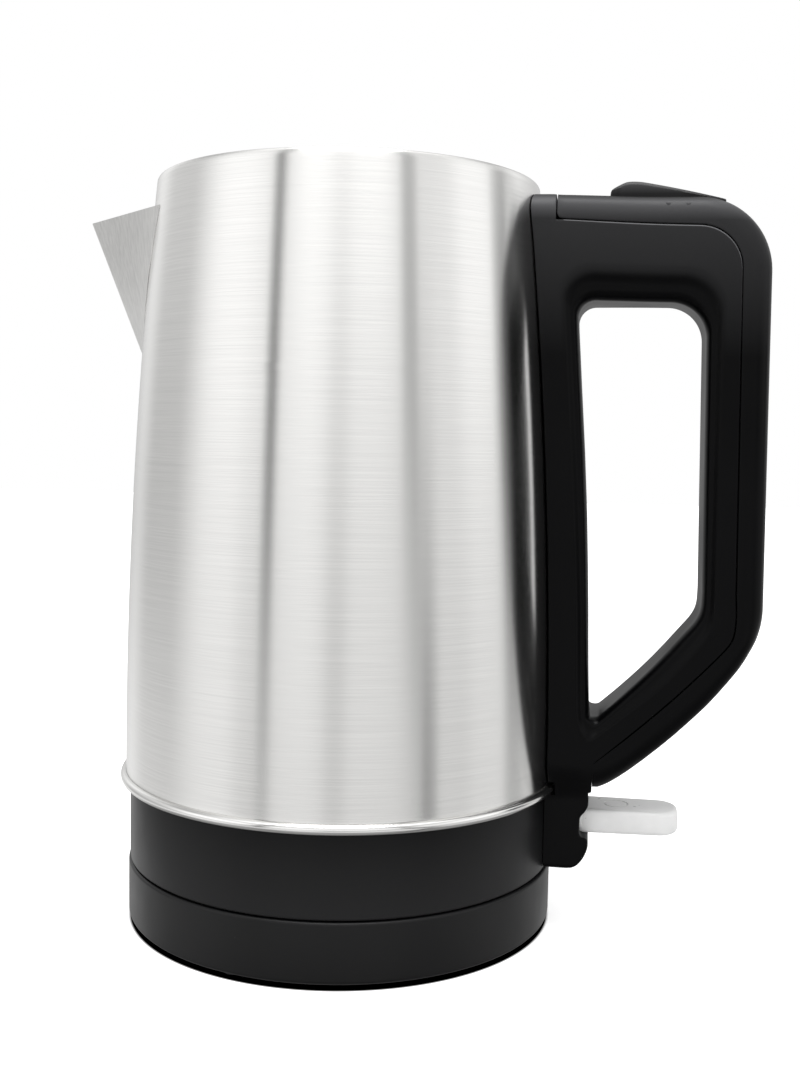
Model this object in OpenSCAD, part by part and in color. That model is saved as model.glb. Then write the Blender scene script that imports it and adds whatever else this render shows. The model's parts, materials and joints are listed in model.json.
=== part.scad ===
// Cordless electric kettle on a round power base.
// Millimetres, Z up, the kettle stands on the plane z = 0.
// The handle points to +X and the spout to -X. The origin is the middle of the
// whole footprint, so the vessel's own axis stands at x = axis_x.

/* [Vessel] */
// Height of the rim above the table
rim_z = 252; // [225:1:305]
// Outer radius of the vessel at the rim
rim_r = 65; // [60:0.5:70]
// Outer radius of the vessel at its foot
foot_r = 75.5; // [72:0.5:91]
// Thickness of the steel sheet
sheet_t = 0.8; // [0.5:0.1:1.2]
// Radius of the rolled edge at the rim
curl_r = 0.9; // [0.7:0.1:1.2]
// Radius of the half-round trim ring at the vessel's foot
bead_r = 1.8; // [1:0.1:2.5]

/* [Spout] */
// Reach of the spout beyond the vessel's foot
spout_out = 17.5; // [10:0.5:25]
// Half the width of the spout where it meets the vessel
spout_half_w = 36; // [25:0.5:40]
// Height of the spout from its lowest point to its lip
spout_h = 55; // [40:1:70]
// Distance from the spout's lip down from the rim
spout_drop = 11; // [9:0.5:16]
// Radius of the spout's folded front edge
spout_nose_r = 3.2; // [2:0.1:4]

/* [Power base] */
// How far the power base's side stands in from the vessel's foot
base_inset = 1; // [0:0.5:5]
// Height of the power base's deck above the table
base_h = 21.2; // [20:0.1:30]
// Wall of the moulded covers
wall = 2.2; // [1.8:0.1:3]
// Height of the rubber feet that show under the base
pad_h = 1.5; // [1:0.1:3]
// Radius of a rubber foot
pad_r = 3.4; // [2.5:0.1:3.8]
// Distance from the cord channel to the power base's side
channel_rim = 12.5; // [11:0.5:13.5]
// Width of the cord channel around the drum
channel_w = 14; // [10:0.5:14.5]
// Bore of the cord gland
gland_bore_r = 3; // [2.5:0.1:3.2]

/* [Connector] */
// Radius of the round connector that stands on the power base
plug_r = 15.8; // [15:0.1:19]
// Height of the connector above the dish it stands in
plug_h = 11.8; // [9:0.1:14]
// Radius of the earth pin
earth_r = 3.2; // [2:0.1:3.4]
// Mean radius of the inner contact ring
inner_ring_r = 7.4; // [7.2:0.1:8]
// Mean radius of the outer contact ring
outer_ring_r = 11.4; // [11.2:0.1:12]

/* [Collar] */
// How far the collar's side stands in from the vessel's foot
collar_inset = 1.5; // [0:0.5:5]
// Height of the collar
collar_h = 26.9; // [25:0.1:40]

/* [Handle] */
// Reach of the handle beyond the vessel's foot
handle_out = 67.5; // [56:0.5:82]
// Thickness of the grip, front to back
grip_t = 20; // [16:0.5:24]
// Width of the grip
grip_w = 29; // [24:0.5:34]
// Width of the handle where it lies against the vessel
root_w = 40; // [34:0.5:42]
// Width of the foot of the handle at the collar
heel_w = 30; // [26:0.5:34]
// Depth of the handle's top bar
bar_h = 36.5; // [30:0.5:42]
// Distance from the handle's top down from the rim
handle_drop = 4.5; // [2:0.5:10]
// Depth of the outer cover strip
strip_t = 9.7; // [7:0.1:12]
// Wall of the handle's mouldings
handle_wall = 2.4; // [1.8:0.1:3]

/* [Lid] */
// How far the lid's edge stands in from the rim
lid_inset = 8.4; // [8:0.1:11]
// Thickness of the lid's flange
lid_t = 3.4; // [2.5:0.1:4.5]
// Depth of the lid's plug under the flange
lid_plug_h = 9.8; // [7:0.1:12]
// Radius of the lid's hinge pin
lid_pin_r = 1.2; // [1:0.1:1.6]

/* [Release lever] */
// Length of the lever along the handle
lever_l = 37; // [30:0.5:40]
// Half the width of the lever
lever_half_w = 9.5; // [7:0.1:11]
// Height of the lever's peak above the handle
lever_h = 5; // [3:0.1:7]
// Radius of the pins of the lever and of the switch paddle
pin_r = 1.5; // [1.2:0.1:2]
// Length of the lever's arm from its pin to the latch slider
lever_arm = 10; // [8:0.1:12]

/* [Switch] */
// Reach of the paddle beyond the collar
paddle_out = 44; // [36:0.5:53]
// Half the width of the paddle
paddle_half_w = 9; // [7:0.1:10]
// Thickness of the paddle
paddle_t = 8; // [6:0.1:9]

/* [Fits] */
// Gap between bodies that move apart
gap = 0.3; // [0.2:0.05:0.5]
// Radial clearance of a pin in its running bore
run_fit = 0.05; // [0.02:0.01:0.1]
// Gap between pieces that are fixed together
seat = 0.05; // [0.02:0.01:0.1]

/* [Hidden] */
$fn = 96;
eps = 0.01;

// Colours
steel = "#c9c9c6";
bright = "#dcdcdc";
black = "#1b1b1d";
grey = "#5a5a5c";
clear_white = "#f1f1ef";
brass = "#c8a24a";
rubber = "#2a2a2a";
cream = "#d9d2c0";

// Radii that follow the vessel's foot and its rim
base_r = foot_r - base_inset;
collar_r = foot_r - collar_inset;
spout_reach = foot_r + spout_out;
handle_reach = foot_r + handle_out;
paddle_reach = collar_r + paddle_out;
lid_r = rim_r - lid_inset;

// Where the vessel's axis stands, so that the footprint is centred
axis_x = (spout_reach - handle_reach) / 2;

// Levels of the power base, from the table up
base_z = pad_h;
dish_z = base_h - 4.5;
deck_under_z = dish_z - wall;
dish_r = foot_r - 17;
channel_r = base_r - channel_rim;
drum_r = channel_r - channel_w;
channel_top_z = deck_under_z - 2;
plug_z = dish_z + plug_h;
plug_root_z = deck_under_z - 2.4;
groove_half = 1;
groove_z = dish_z - 0.7;
screw_r = 1.5;
screw_head_r = 2.8;
screw_head_h = 1.5;

// Levels of the collar and what it holds
collar_z = base_h + gap;
collar_top = collar_z + collar_h;
cover_z = dish_z + gap;
cover_r = dish_r - 2 * gap;
socket_r = plug_r + 3.7;
ring_t = 0.8;
control_z = plug_z + 1.5;
control_r = socket_r + 1.5;
control_lug_r = control_r + 6;
shell_z = collar_top + 0.1;
floor_z = shell_z + 2.5;
plate_t = 3;
plate_z = floor_z - seat - plate_t;
plate_r = foot_r - 17.5;
element_ring_r = plate_r - 13;
element_wire_r = 3.3;
screw_ring_r = dish_r + 5.5;
bead_z = collar_top + seat + bead_r;
bead_out_r = foot_r + bead_r;

// The vessel's side: a shallow parabola, upright at the foot and leaning in at the rim
shell_steps = 16;
function shell_r(z) = foot_r - (foot_r - rim_r) * pow(max(0, z - shell_z) / (rim_z - shell_z), 2);
function shell_side(grow, z0, z1) =
    [for (i = [0 : shell_steps]) let (z = z0 + (z1 - z0) * i / shell_steps) [shell_r(z) + grow, z]];
function back(points) = [for (i = [len(points) - 1 : -1 : 0]) points[i]];
function arc(cx, cy, r, a0, a1, n) =
    [for (i = [0 : n]) let (a = a0 + (a1 - a0) * i / n) [cx + r * cos(a), cy + r * sin(a)]];

// The spout: its lip, its lowest point, and the line where it meets the vessel
spout_top = rim_z - spout_drop;
spout_low = spout_top - spout_h;
spout_steps = 12;
function spout_share(z) = (z - spout_low) / spout_h;
function spout_front(z) =
    shell_r(spout_low) + (spout_reach - shell_r(spout_low)) * spout_share(z);
function spout_w(z) = spout_half_w * sqrt(max(0, spout_share(z)));

// The handle's outline, in the upright plane through the vessel's axis
handle_top = rim_z - handle_drop;
heel_z = collar_z + 1;
corner_r = 22.5;
corner_x = handle_reach - 1.5 - corner_r;
corner_z = handle_top - corner_r;
bend_r = 28.4;
bend_x = handle_reach - bend_r;
bend_z = collar_top + 64;
bend_angle = 43;
strip_end_x = foot_r + 14.5;
strip_end_z = bead_z;
heel_x = collar_r + 12;
slope_n = [sin(bend_angle), -cos(bend_angle)];
hole_top = handle_top - bar_h;
hole_x1 = handle_reach - grip_t;
hole_x0 = foot_r + 4.8;
hole_low_x = foot_r + 13;
hole_low_z = collar_top + 29;
hole_corner_r = 5;
hole_knee_r = 10;
hole_bend_r = 20;
grip_x = handle_reach - 30;

// The lid, its hinge and its catch
hinge_x = rim_r - 5.5;
hinge_z = rim_z - 4.4;
knuckle_r = lid_pin_r + 1;
knuckle_half = 7.7;
ear_t = 5;
lid_z = hinge_z - 1.8;
mouth_r = lid_r - 2.2;
mouth_z = lid_z - gap - 4;
mouth_out_r = shell_r(rim_z) - sheet_t - 0.3;
plug_in_r = mouth_r - 2.8;
catch_x = 9;
catch_z = -6.6;
catch_reach = 11.25;
slot_half = 5.5;

// The latch and its lever
lever_x = handle_reach - 27;
lever_z = handle_top - 5.5;
slider_z = lever_z - lever_arm;
slider_x = hinge_x + catch_reach + 0.35;
slider_half = 4;
lever_end_x = lever_x + 9.5;

// The switch in the handle's heel
paddle_x = collar_r + 5.5;
paddle_z = collar_z + 16.5;
trip_x = paddle_x - 11.5;
trip_t = 2.4;
plunger_r = 2;
switch_z = paddle_z + 4.2;
duct_low_z = bead_z + 14;
duct_off = 4.5;
collar_lip = 1.5;

// The bracket on the vessel that the top of the handle hooks on
bracket_z = hole_top - 4;
bracket_h = 24;
bracket_half = 8;

// Screws between the collar and the heel of the handle: height and side of each
lower_screws = [[heel_z + 5, -10.5], [heel_z + 5, 10.5]];

module at_axis() {
    translate([axis_x, 0, 0]) children();
}

// Turn a flat outline drawn in x and z into an upright slab of the given width
module slab(width) {
    rotate([90, 0, 0]) linear_extrude(width, center = true) children();
}

module ring(r_out, r_in, z0, z1) {
    translate([0, 0, z0]) difference() {
        cylinder(r = r_out, h = z1 - z0);
        translate([0, 0, -eps]) cylinder(r = r_in, h = z1 - z0 + 2 * eps);
    }
}

module post(r, z0, z1) {
    translate([0, 0, z0]) cylinder(r = r, h = z1 - z0, $fn = 32);
}

// A pin or bore along Y, centred on y = 0
module cross_pin(x, z, r, length) {
    translate([x, 0, z]) rotate([90, 0, 0]) cylinder(r = r, h = length, center = true, $fn = 48);
}

// A box from its lowest and highest corners
module box(low, high) {
    translate(low) cube([high[0] - low[0], high[1] - low[1], high[2] - low[2]]);
}

// ---- Power base ----

base_screw_r = plug_r + 14.2;
base_edge_r = 1.6;
outlet_half = 4.2;
outlet_z = channel_top_z - 2.3;
gland_z = base_z + 4.9;
gland_l = 4;
gland_wall = 0.9;

module base_outline() {
    polygon(concat(
        [[base_r - wall, base_z]],
        arc(base_r - base_edge_r, base_z + base_edge_r, base_edge_r, -90, 0, 6),
        arc(base_r - 1, base_h - 1, 1, 0, 90, 4),
        [[dish_r, base_h], [dish_r, dish_z], [plug_r + 0.2, dish_z], [plug_r + 0.2, deck_under_z],
         [dish_r + wall, deck_under_z], [dish_r + wall, base_h - wall], [base_r - wall, base_h - wall]]
    ));
}

module base_top_cover() {
    boss_r = 4.2;
    color(black) at_axis() difference() {
        union() {
            rotate_extrude($fn = 128) base_outline();
            for (i = [0 : 3]) rotate(45 + 90 * i) translate([base_screw_r, 0, 0])
                post(boss_r, base_z + 4 + seat, deck_under_z + eps);
        }
        for (i = [0 : 3]) rotate(45 + 90 * i) translate([base_screw_r, 0, 0])
            post(screw_r + seat, base_z + 3, deck_under_z - 1);
        box([-outlet_half, base_r - 2 * wall, base_z - eps], [outlet_half, base_r + eps, outlet_z]);
    }
}

module base_bottom_cover() {
    ring_out = base_r - wall - 0.1;
    hub_z = base_z + 0.4;
    hub_t = 1.5;
    boss_top = base_z + 4;
    rib_r = channel_r + 2.8;
    rib_top = base_h - wall - gap;
    color(black) at_axis() difference() {
        union() {
            rotate_extrude($fn = 128) polygon([
                [0, hub_z], [drum_r - 2, hub_z], [drum_r - 2, base_z], [drum_r, base_z],
                [drum_r, channel_top_z - 2], [channel_r, channel_top_z - 2], [channel_r, base_z],
                [ring_out, base_z], [ring_out, base_z + 2], [rib_r, base_z + 2], [rib_r, rib_top],
                [channel_r, rib_top], [channel_r, channel_top_z], [drum_r - 2, channel_top_z],
                [drum_r - 2, hub_z + hub_t],
                [0, hub_z + hub_t]
            ]);
            for (i = [0 : 3]) rotate(45 + 90 * i) union() {
                box([drum_r - 1, -9, base_z], [drum_r + 8, 9, base_z + 2]);
                translate([base_screw_r, 0, 0]) post(screw_head_r + 1.6, hub_z, boss_top);
            }
        }
        for (i = [0 : 3]) rotate(45 + 90 * i) translate([base_screw_r, 0, 0]) union() {
            post(screw_r + 0.3, base_z, boss_top + 1);
            post(screw_head_r + 0.3, base_z, hub_z + screw_head_h + 0.3);
        }
        for (i = [0 : 4]) rotate(36 + 72 * i) translate([(channel_r + ring_out) / 2 + 0.5, 0, 0])
            post(screw_r + seat, base_z - 1, base_z + 3);
        translate([0, drum_r - 1, gland_z]) rotate([90, 0, 0])
            cylinder(r = gland_bore_r + gland_wall + seat, h = 2.2, center = true, $fn = 48);
        box([-outlet_half, channel_r - 1, base_z - eps], [outlet_half, base_r, outlet_z]);
    }
}

tab_w = 3.8;
tab_slot = tab_w + 0.6;
module base_connector() {
    color(grey) at_axis() difference() {
        union() {
            post(plug_r, plug_root_z, plug_z, $fn = 96);
            post(plug_r + 3.2, plug_root_z, deck_under_z - seat);
        }
        post(earth_r + 0.5, groove_z, plug_z + 1);
        for (r = [inner_ring_r, outer_ring_r])
            ring(r + groove_half, r - groove_half, groove_z, plug_z + 1);
        box([-2, -0.7, plug_root_z - 1], [2, 0.7, groove_z + 1]);
        box([inner_ring_r - 0.7, -tab_slot / 2, plug_root_z - 1], [inner_ring_r + 0.7, tab_slot / 2, groove_z + 1]);
        box([-outer_ring_r - 0.7, -tab_slot / 2, plug_root_z - 1], [0.7 - outer_ring_r, tab_slot / 2, groove_z + 1]);
    }
}

// A contact: a flat ring in the bottom of its groove, and a tab through the connector's floor
module base_contact(r, side) {
    color(brass) at_axis() union() {
        ring(r + groove_half - 0.1, r - groove_half + 0.1, groove_z + seat, groove_z + 1.3);
        box([side * r - 0.5, -tab_w / 2, plug_root_z - 5], [side * r + 0.5, tab_w / 2, groove_z + 1]);
    }
}

module base_live_contact() {
    base_contact(outer_ring_r, -1);
}

module base_neutral_contact() {
    base_contact(inner_ring_r, 1);
}

module base_earth_contact() {
    color(brass) at_axis() union() {
        post(earth_r + 0.3, groove_z + seat, groove_z + 1.3);
        box([-1.8, -0.5, plug_root_z - 5], [1.8, 0.5, groove_z + 1]);
    }
}

module rubber_feet() {
    ring_out = base_r - wall - 0.1;
    color(rubber) at_axis() for (i = [0 : 4]) rotate(36 + 72 * i)
        translate([(channel_r + ring_out) / 2 + 0.5, 0, 0]) union() {
            post(pad_r, 0, base_z - seat);
            post(screw_r, 0, base_z + 2.5);
        }
}

module base_screws() {
    head_z = base_z + 0.4 + 0.25;
    color(bright) at_axis() for (i = [0 : 3]) rotate(45 + 90 * i) translate([base_screw_r, 0, 0])
        union() {
            post(screw_head_r, head_z, head_z + screw_head_h);
            post(screw_r, head_z, deck_under_z - 1.2);
        }
}

module cord_gland() {
    color(rubber) at_axis() translate([0, drum_r, gland_z]) rotate([90, 0, 0]) difference() {
        cylinder(r = gland_bore_r + gland_wall, h = gland_l, center = true, $fn = 48);
        cylinder(r = gland_bore_r, h = gland_l + 1, center = true, $fn = 48);
    }
}

module connector_ring() {
    color(rubber) at_axis() ring(socket_r - 0.5, plug_r + 0.5, dish_z + gap, dish_z + gap + 2.2);
}

// ---- Vessel ----

// The V of the spout's opening, seen from the side the spout is on
module spout_opening(shrink) {
    half = [for (i = [0 : spout_steps]) let (k = i / spout_steps)
        [max(0.4, k * spout_half_w - shrink), spout_low + shrink + (spout_h - 2 * shrink) * k * k]];
    rotate([90, 0, -90]) linear_extrude(spout_reach)
        polygon(concat(half, back([for (p = half) [-p[0], p[1]]])));
}

module vessel_shell() {
    color(steel) at_axis() difference() {
        union() {
            rotate_extrude($fn = 160) polygon(concat(
                shell_side(0, shell_z, rim_z - curl_r), back(shell_side(-sheet_t, shell_z, rim_z - curl_r))));
            rotate_extrude($fn = 160) translate([shell_r(rim_z) - curl_r, rim_z - curl_r])
                circle(r = curl_r, $fn = 20);
        }
        spout_opening(2);
        box([hinge_x, -slot_half, hinge_z - 11.6], [rim_r + 5, slot_half, hinge_z - 0.8]);
    }
}

// One level of the spout: from one edge on the vessel, round the folded front, to the other edge
spout_turn = 6;
function spout_section(z, t) =
    let (
        w = max(0.6, spout_w(z)) - t,
        edge_x = sqrt(pow(shell_r(z) + 0.2, 2) - w * w),
        front_x = max(edge_x + 0.8, spout_front(z) - t),
        half_angle = atan(w / (front_x - edge_x)),
        nose = min(spout_nose_r, 0.35 * w),
        centre_x = front_x - nose
    )
    concat(
        [[-edge_x, w]],
        [for (i = [-spout_turn : spout_turn]) let (a = -i / spout_turn * (90 - half_angle))
            [-centre_x - nose * cos(a), nose * sin(a)]],
        [[-edge_x, -w]]
    );

// The space inside the spout's skin moved inwards by t, as one closed body
module spout_body(t, z0, z1) {
    rows = [for (i = [0 : spout_steps]) let (z = z0 + (z1 - z0) * i / spout_steps)
        [for (p = spout_section(min(z, spout_top), t)) [p[0], p[1], z]]];
    m = len(rows[0]);
    sides = [for (i = [0 : spout_steps - 1]) for (j = [0 : m - 1])
        let (a = i * m + j, b = i * m + (j + 1) % m) each [[a, a + m, b], [b, a + m, b + m]]];
    low = [[for (j = [0 : m - 1]) j]];
    high = [[for (j = [m - 1 : -1 : 0]) spout_steps * m + j]];
    polyhedron([for (row = rows) for (p = row) p], concat(sides, low, high), convexity = 6);
}

module spout() {
    color(steel) at_axis() difference() {
        spout_body(0, spout_low + 1, spout_top);
        translate([0, 0, eps]) spout_body(sheet_t + 0.2, spout_low + 4, spout_top + 1);
        rotate_extrude($fn = 160) polygon(concat(
            [[0, shell_z]], shell_side(seat, shell_z, rim_z), [[0, rim_z]]));
    }
}

filter_in_r = 3.6;
module filter_zone(shrink, r_out, r_in) {
    intersection() {
        rotate_extrude($fn = 160) polygon(concat(
            shell_side(-r_out, spout_low - 8, spout_top), back(shell_side(-r_in, spout_low - 8, spout_top))));
        spout_opening(shrink);
    }
}

module filter_frame() {
    color(black) at_axis() difference() {
        filter_zone(-3, sheet_t + 0.2, filter_in_r);
        spout_opening(3);
        filter_zone(0, 1.6, 2.2);
    }
}

module filter_mesh() {
    bars = 9;
    color(bright) at_axis() difference() {
        filter_zone(0.8, 1.7, 2.1);
        for (i = [-bars : bars]) box([-foot_r, i * 3.2 - 0.8, spout_low + 14 + abs(i) * 3],
            [-hinge_x + 20, i * 3.2 + 0.8, spout_top - 3]);
    }
}

module base_trim_ring() {
    color(bright) at_axis() rotate_extrude($fn = 160) intersection() {
        translate([foot_r + seat, bead_z]) circle(r = bead_r - seat, $fn = 32);
        translate([foot_r + seat, bead_z - bead_r]) square([2 * bead_r, 2 * bead_r]);
    }
}

module vessel_floor() {
    r = shell_r(floor_z + sheet_t) - sheet_t - seat;
    color(steel) at_axis() union() {
        post(r - 0.5, floor_z, floor_z + sheet_t, $fn = 128);
        ring(r, r - sheet_t, shell_z, floor_z + sheet_t);
    }
}

// ---- Heater and control under the floor ----

control_top = control_z + 13.5;

module element_plate() {
    color(bright) at_axis() difference() {
        post(plate_r, plate_z, plate_z + plate_t, $fn = 128);
        for (i = [0 : 2]) rotate(30 + 120 * i) translate([control_lug_r, 0, 0])
            post(screw_r + seat, plate_z - 1, plate_z + 2);
    }
}

module heating_element() {
    tail_z = plate_z - 9;
    color(grey) at_axis() union() {
        rotate(30) rotate_extrude(angle = 300, $fn = 96)
            translate([element_ring_r, plate_z - element_wire_r - seat]) circle(r = element_wire_r, $fn = 24);
        for (a = [31, 329]) rotate(a) translate([element_ring_r, 0, 0])
            post(1.6, tail_z, plate_z - element_wire_r);
    }
}

module lower_collar() {
    in_r = collar_r - wall;
    color(black) at_axis() difference() {
        union() {
            ring(collar_r, in_r, collar_z, collar_top, $fn = 128);
            ring(in_r + eps, dish_r + 1.5, collar_z, collar_z + wall);
            ring(in_r + eps, in_r - collar_lip, collar_top - wall, collar_top);
        }
        box([collar_r - 8, -3.9, paddle_z - 3], [collar_r + 2, 3.9, paddle_z + 4.5]);
        for (i = [0 : 2]) rotate(60 + 120 * i) translate([screw_ring_r, 0, 0])
            post(screw_r + 0.3, collar_z - 1, collar_z + wall + 1);
        for (p = lower_screws) translate([collar_r - 6, p[1], p[0]]) rotate([0, 90, 0])
            cylinder(r = screw_r + seat, h = 9, $fn = 32);
    }
}

module underside_cover() {
    flange_z = collar_z + wall + seat;
    boss_top = flange_z + 9;
    color(black) at_axis() difference() {
        union() {
            ring(cover_r, socket_r, cover_z, cover_z + 2);
            ring(cover_r, cover_r - 2, cover_z, flange_z + 2);
            ring(screw_ring_r + 4, cover_r - 2, flange_z, flange_z + 2);
            ring(socket_r + 1.8, socket_r, cover_z, control_z - 0.3);
            for (i = [0 : 2]) rotate(60 + 120 * i) translate([screw_ring_r, 0, 0])
                post(3.6, flange_z, boss_top);
        }
        for (i = [0 : 2]) rotate(60 + 120 * i) translate([screw_ring_r, 0, 0])
            post(screw_r + seat, flange_z - 1, boss_top - 1);
    }
}

module underside_screws() {
    head_z = collar_z + 0.1;
    color(bright) at_axis() for (i = [0 : 2]) rotate(60 + 120 * i) translate([screw_ring_r, 0, 0])
        post(screw_r, head_z, collar_z + wall + seat + 7.5);
}

module control_housing() {
    groove = 0.5;
    color(cream) at_axis() difference() {
        union() {
            post(control_r, control_z, control_top, $fn = 96);
            for (i = [0 : 2]) rotate(30 + 120 * i) union() {
                translate([control_lug_r, 0, 0]) post(4, control_top - 4, plate_z - seat);
                box([control_r - 2, -4, control_top - 4], [control_lug_r, 4, control_top]);
            }
            for (side = [-1, 1]) translate([0, side * 11, 0]) post(3, control_top - eps, plate_z - 1.3);
        }
        post(earth_r + seat, control_z - 1, control_z + 5);
        for (r = [inner_ring_r, outer_ring_r])
            ring(r + groove, r - groove, control_z - 1, control_z + 4);
        for (i = [0 : 2]) rotate(30 + 120 * i) translate([control_lug_r, 0, 0])
            post(screw_r + seat, control_top - 5, plate_z);
    }
}

module control_screws() {
    color(bright) at_axis() for (i = [0 : 2]) rotate(30 + 120 * i) translate([control_lug_r, 0, 0])
        union() {
            post(screw_head_r, control_top - 4 - screw_head_h - seat, control_top - 4 - seat);
            post(screw_r, control_top - 5, plate_z + 1.8);
        }
}

module bimetal_discs() {
    color(brass) at_axis() for (side = [-1, 1]) translate([0, side * 11, 0])
        post(7.5, plate_z - 1.2, plate_z - 0.4);
}

module earth_pin() {
    color(bright) at_axis() union() {
        post(earth_r, cover_z + 2, control_z + 4.5);
        translate([0, 0, cover_z + 1]) cylinder(r1 = earth_r - 1, r2 = earth_r, h = 1 + eps, $fn = 32);
    }
}

module neutral_ring() {
    color(brass) at_axis()
        ring(inner_ring_r + ring_t / 2, inner_ring_r - ring_t / 2, cover_z + 1.5, control_z + 3.5);
}

module live_ring() {
    color(brass) at_axis()
        ring(outer_ring_r + ring_t / 2, outer_ring_r - ring_t / 2, cover_z + 1.5, control_z + 3.5);
}

// ---- Switch in the handle's heel ----

module steam_switch() {
    half = 11;
    lip_r = collar_r - wall - collar_lip - seat;
    // its outer corners stand against the lip inside the collar
    in_x = sqrt(lip_r * lip_r - half * half);
    color(cream) at_axis() difference() {
        box([trip_x - 9, -half, switch_z], [in_x, half, plate_z + plate_t - 3.3]);
        translate([trip_x, 0, 0]) post(plunger_r + run_fit, switch_z - 1, plate_z + plate_t);
    }
}

module switch_plunger() {
    color(clear_white) at_axis() translate([trip_x, 0, 0])
        post(plunger_r, paddle_z + trip_t / 2 + gap, switch_z + 2.6);
}

module steam_disc() {
    color(brass) at_axis() translate([paddle_x + 2.9, 0, bead_z + 8]) rotate([0, 90, 0])
        cylinder(r = 4.4, h = 0.4, $fn = 32);
}

module disc_holder() {
    x0 = paddle_x + 3.35;
    color(cream) at_axis() difference() {
        box([x0, -7, bead_z + 3], [x0 + 2.2, 7, duct_low_z - seat]);
        translate([x0 - 1, 0, bead_z + 8]) rotate([0, 90, 0]) cylinder(r = 1.5, h = 6, $fn = 24);
    }
}

module switch_paddle() {
    half_t = paddle_t / 2;
    root_x = heel_x + 0.3;
    color(clear_white) at_axis() difference() {
        union() {
            translate([0, 0, paddle_z - half_t]) linear_extrude(paddle_t) union() {
                translate([root_x, -paddle_half_w]) square([paddle_reach - 6 - root_x, 2 * paddle_half_w]);
                translate([paddle_reach - 7, -paddle_half_w + 1]) square([7, 2 * paddle_half_w - 2]);
                for (side = [-1, 1]) translate([paddle_reach - 6, side * (paddle_half_w - 6)]) circle(r = 6);
            }
            box([paddle_x, -paddle_half_w, paddle_z - 2.6], [root_x + 1, paddle_half_w, paddle_z + 2.6]);
            cross_pin(paddle_x, paddle_z, 2.8, 2 * paddle_half_w);
            box([trip_x - 1.5, -3, paddle_z - trip_t / 2], [paddle_x, 3, paddle_z + trip_t / 2]);
        }
        cross_pin(paddle_x, paddle_z, pin_r + run_fit, 3 * paddle_half_w);
    }
}

module paddle_pin() {
    color(bright) at_axis() cross_pin(paddle_x, paddle_z, pin_r, heel_w - 0.6);
}

module indicator_board() {
    color("#2f6b45") at_axis() box([paddle_x - 1.2, -7, heel_z + handle_wall + 0.3],
        [paddle_x - 0.2, 7, paddle_z - 5.2]);
}

module indicator_lamp() {
    color("#cfe3ff") at_axis() translate([paddle_x - 0.15, 0, heel_z + 6.4]) rotate([0, 90, 0])
        cylinder(r = 1.5, h = 3.6, $fn = 24);
}

// ---- Handle ----

// The handle's whole outline moved inwards by t
module handle_outline(t) {
    bend_end = [bend_x, bend_z] + (bend_r - t) * [cos(-bend_angle), sin(-bend_angle)];
    strip_end = [strip_end_x, strip_end_z] - t * slope_n;
    polygon(concat(
        [[rim_r - 20, handle_top - t]],
        arc(corner_x, corner_z, corner_r - t, 90, 0, 12),
        arc(bend_x, bend_z, bend_r - t, 0, -bend_angle, 8),
        [strip_end, [heel_x + 2 - t, strip_end_z - 2], [heel_x + 2 - t, paddle_z + 6.5],
         [heel_x - t, paddle_z + 4.8], [heel_x - t, paddle_z - 5.8], [heel_x + 1.4 - t, paddle_z - 7.4],
         [heel_x + 1 - t, paddle_z - 10], [heel_x - 3 - t, heel_z + t], [rim_r - 20, heel_z + t]]
    ));
}

// The finger gap's outline moved outwards by t
module handle_hole(t) {
    polygon(concat(
        arc(hole_x0 + hole_corner_r, hole_top - hole_corner_r, hole_corner_r + t, 180, 90, 6),
        arc(hole_x1 - hole_knee_r, hole_top - hole_knee_r, hole_knee_r + t, 90, 0, 8),
        arc(hole_x1 - hole_bend_r, bend_z + 9, hole_bend_r + t, 0, -bend_angle - 3, 8),
        arc(hole_low_x + 2, hole_low_z + 2, 2 + t, -bend_angle - 3, -177, 6)
    ));
}

// The region of the cover strip, its seam moved outwards by t
module strip_region(t) {
    seam_r = corner_r - strip_t + 1.3;
    seam_x = corner_x - 1.3;
    seam_z = handle_top - strip_t - seam_r;
    low_r = 16;
    low_x = handle_reach - strip_t - 0.4 - low_r;
    low_z = bend_z + 5.8;
    polygon(concat(
        [[foot_r - 4 + t, handle_top + 9], [handle_reach + 9, handle_top + 9],
         [handle_reach + 9, strip_end_z - 20], [strip_end_x + 9, strip_end_z - 20],
         [strip_end_x, strip_end_z - 1], [strip_end_x - 2 + t, strip_end_z + 11.2]],
        back(arc(low_x, low_z, low_r + t, 0, -bend_angle - 5, 6)),
        back(arc(seam_x, seam_z, seam_r + t, 90, 0, 8)),
        [[foot_r - 4 + t, handle_top - strip_t + 1 + t]]
    ));
}

// The plan of the handle: wide against the vessel, narrower at the grip, moved inwards by t
module handle_plan(t) {
    grip = grip_w / 2 - t;
    root = root_w / 2 - t;
    heel = heel_w / 2 - t;
    knee_x = hole_x0 + 10;
    far = handle_reach + 5;
    translate([0, 0, strip_end_z - 3]) linear_extrude(rim_z) polygon([
        [rim_r - 30, root], [foot_r, root], [knee_x, (root + grip) / 2], [grip_x, grip], [far, grip],
        [far, -grip], [grip_x, -grip], [knee_x, -(root + grip) / 2], [foot_r, -root], [rim_r - 30, -root]]);
    box([rim_r - 30, -heel, 0], [heel_x + 9, heel, strip_end_z - 3 + eps]);
}

// The room that the vessel, its trim ring and the collar take, grown by t
module vessel_room(t) {
    rotate_extrude($fn = 160) polygon(concat(
        [[0, 0], [collar_r + t, 0], [collar_r + t, collar_top - t], [bead_out_r + t, collar_top - t],
         [bead_out_r + t, bead_z + bead_r + t], [shell_r(bead_z + bead_r + t) + t, bead_z + bead_r + t]],
        shell_side(t, bead_z + bead_r + t + 0.1, rim_z), [[rim_r + t, rim_z + 9], [0, rim_z + 9]]));
}

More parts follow.
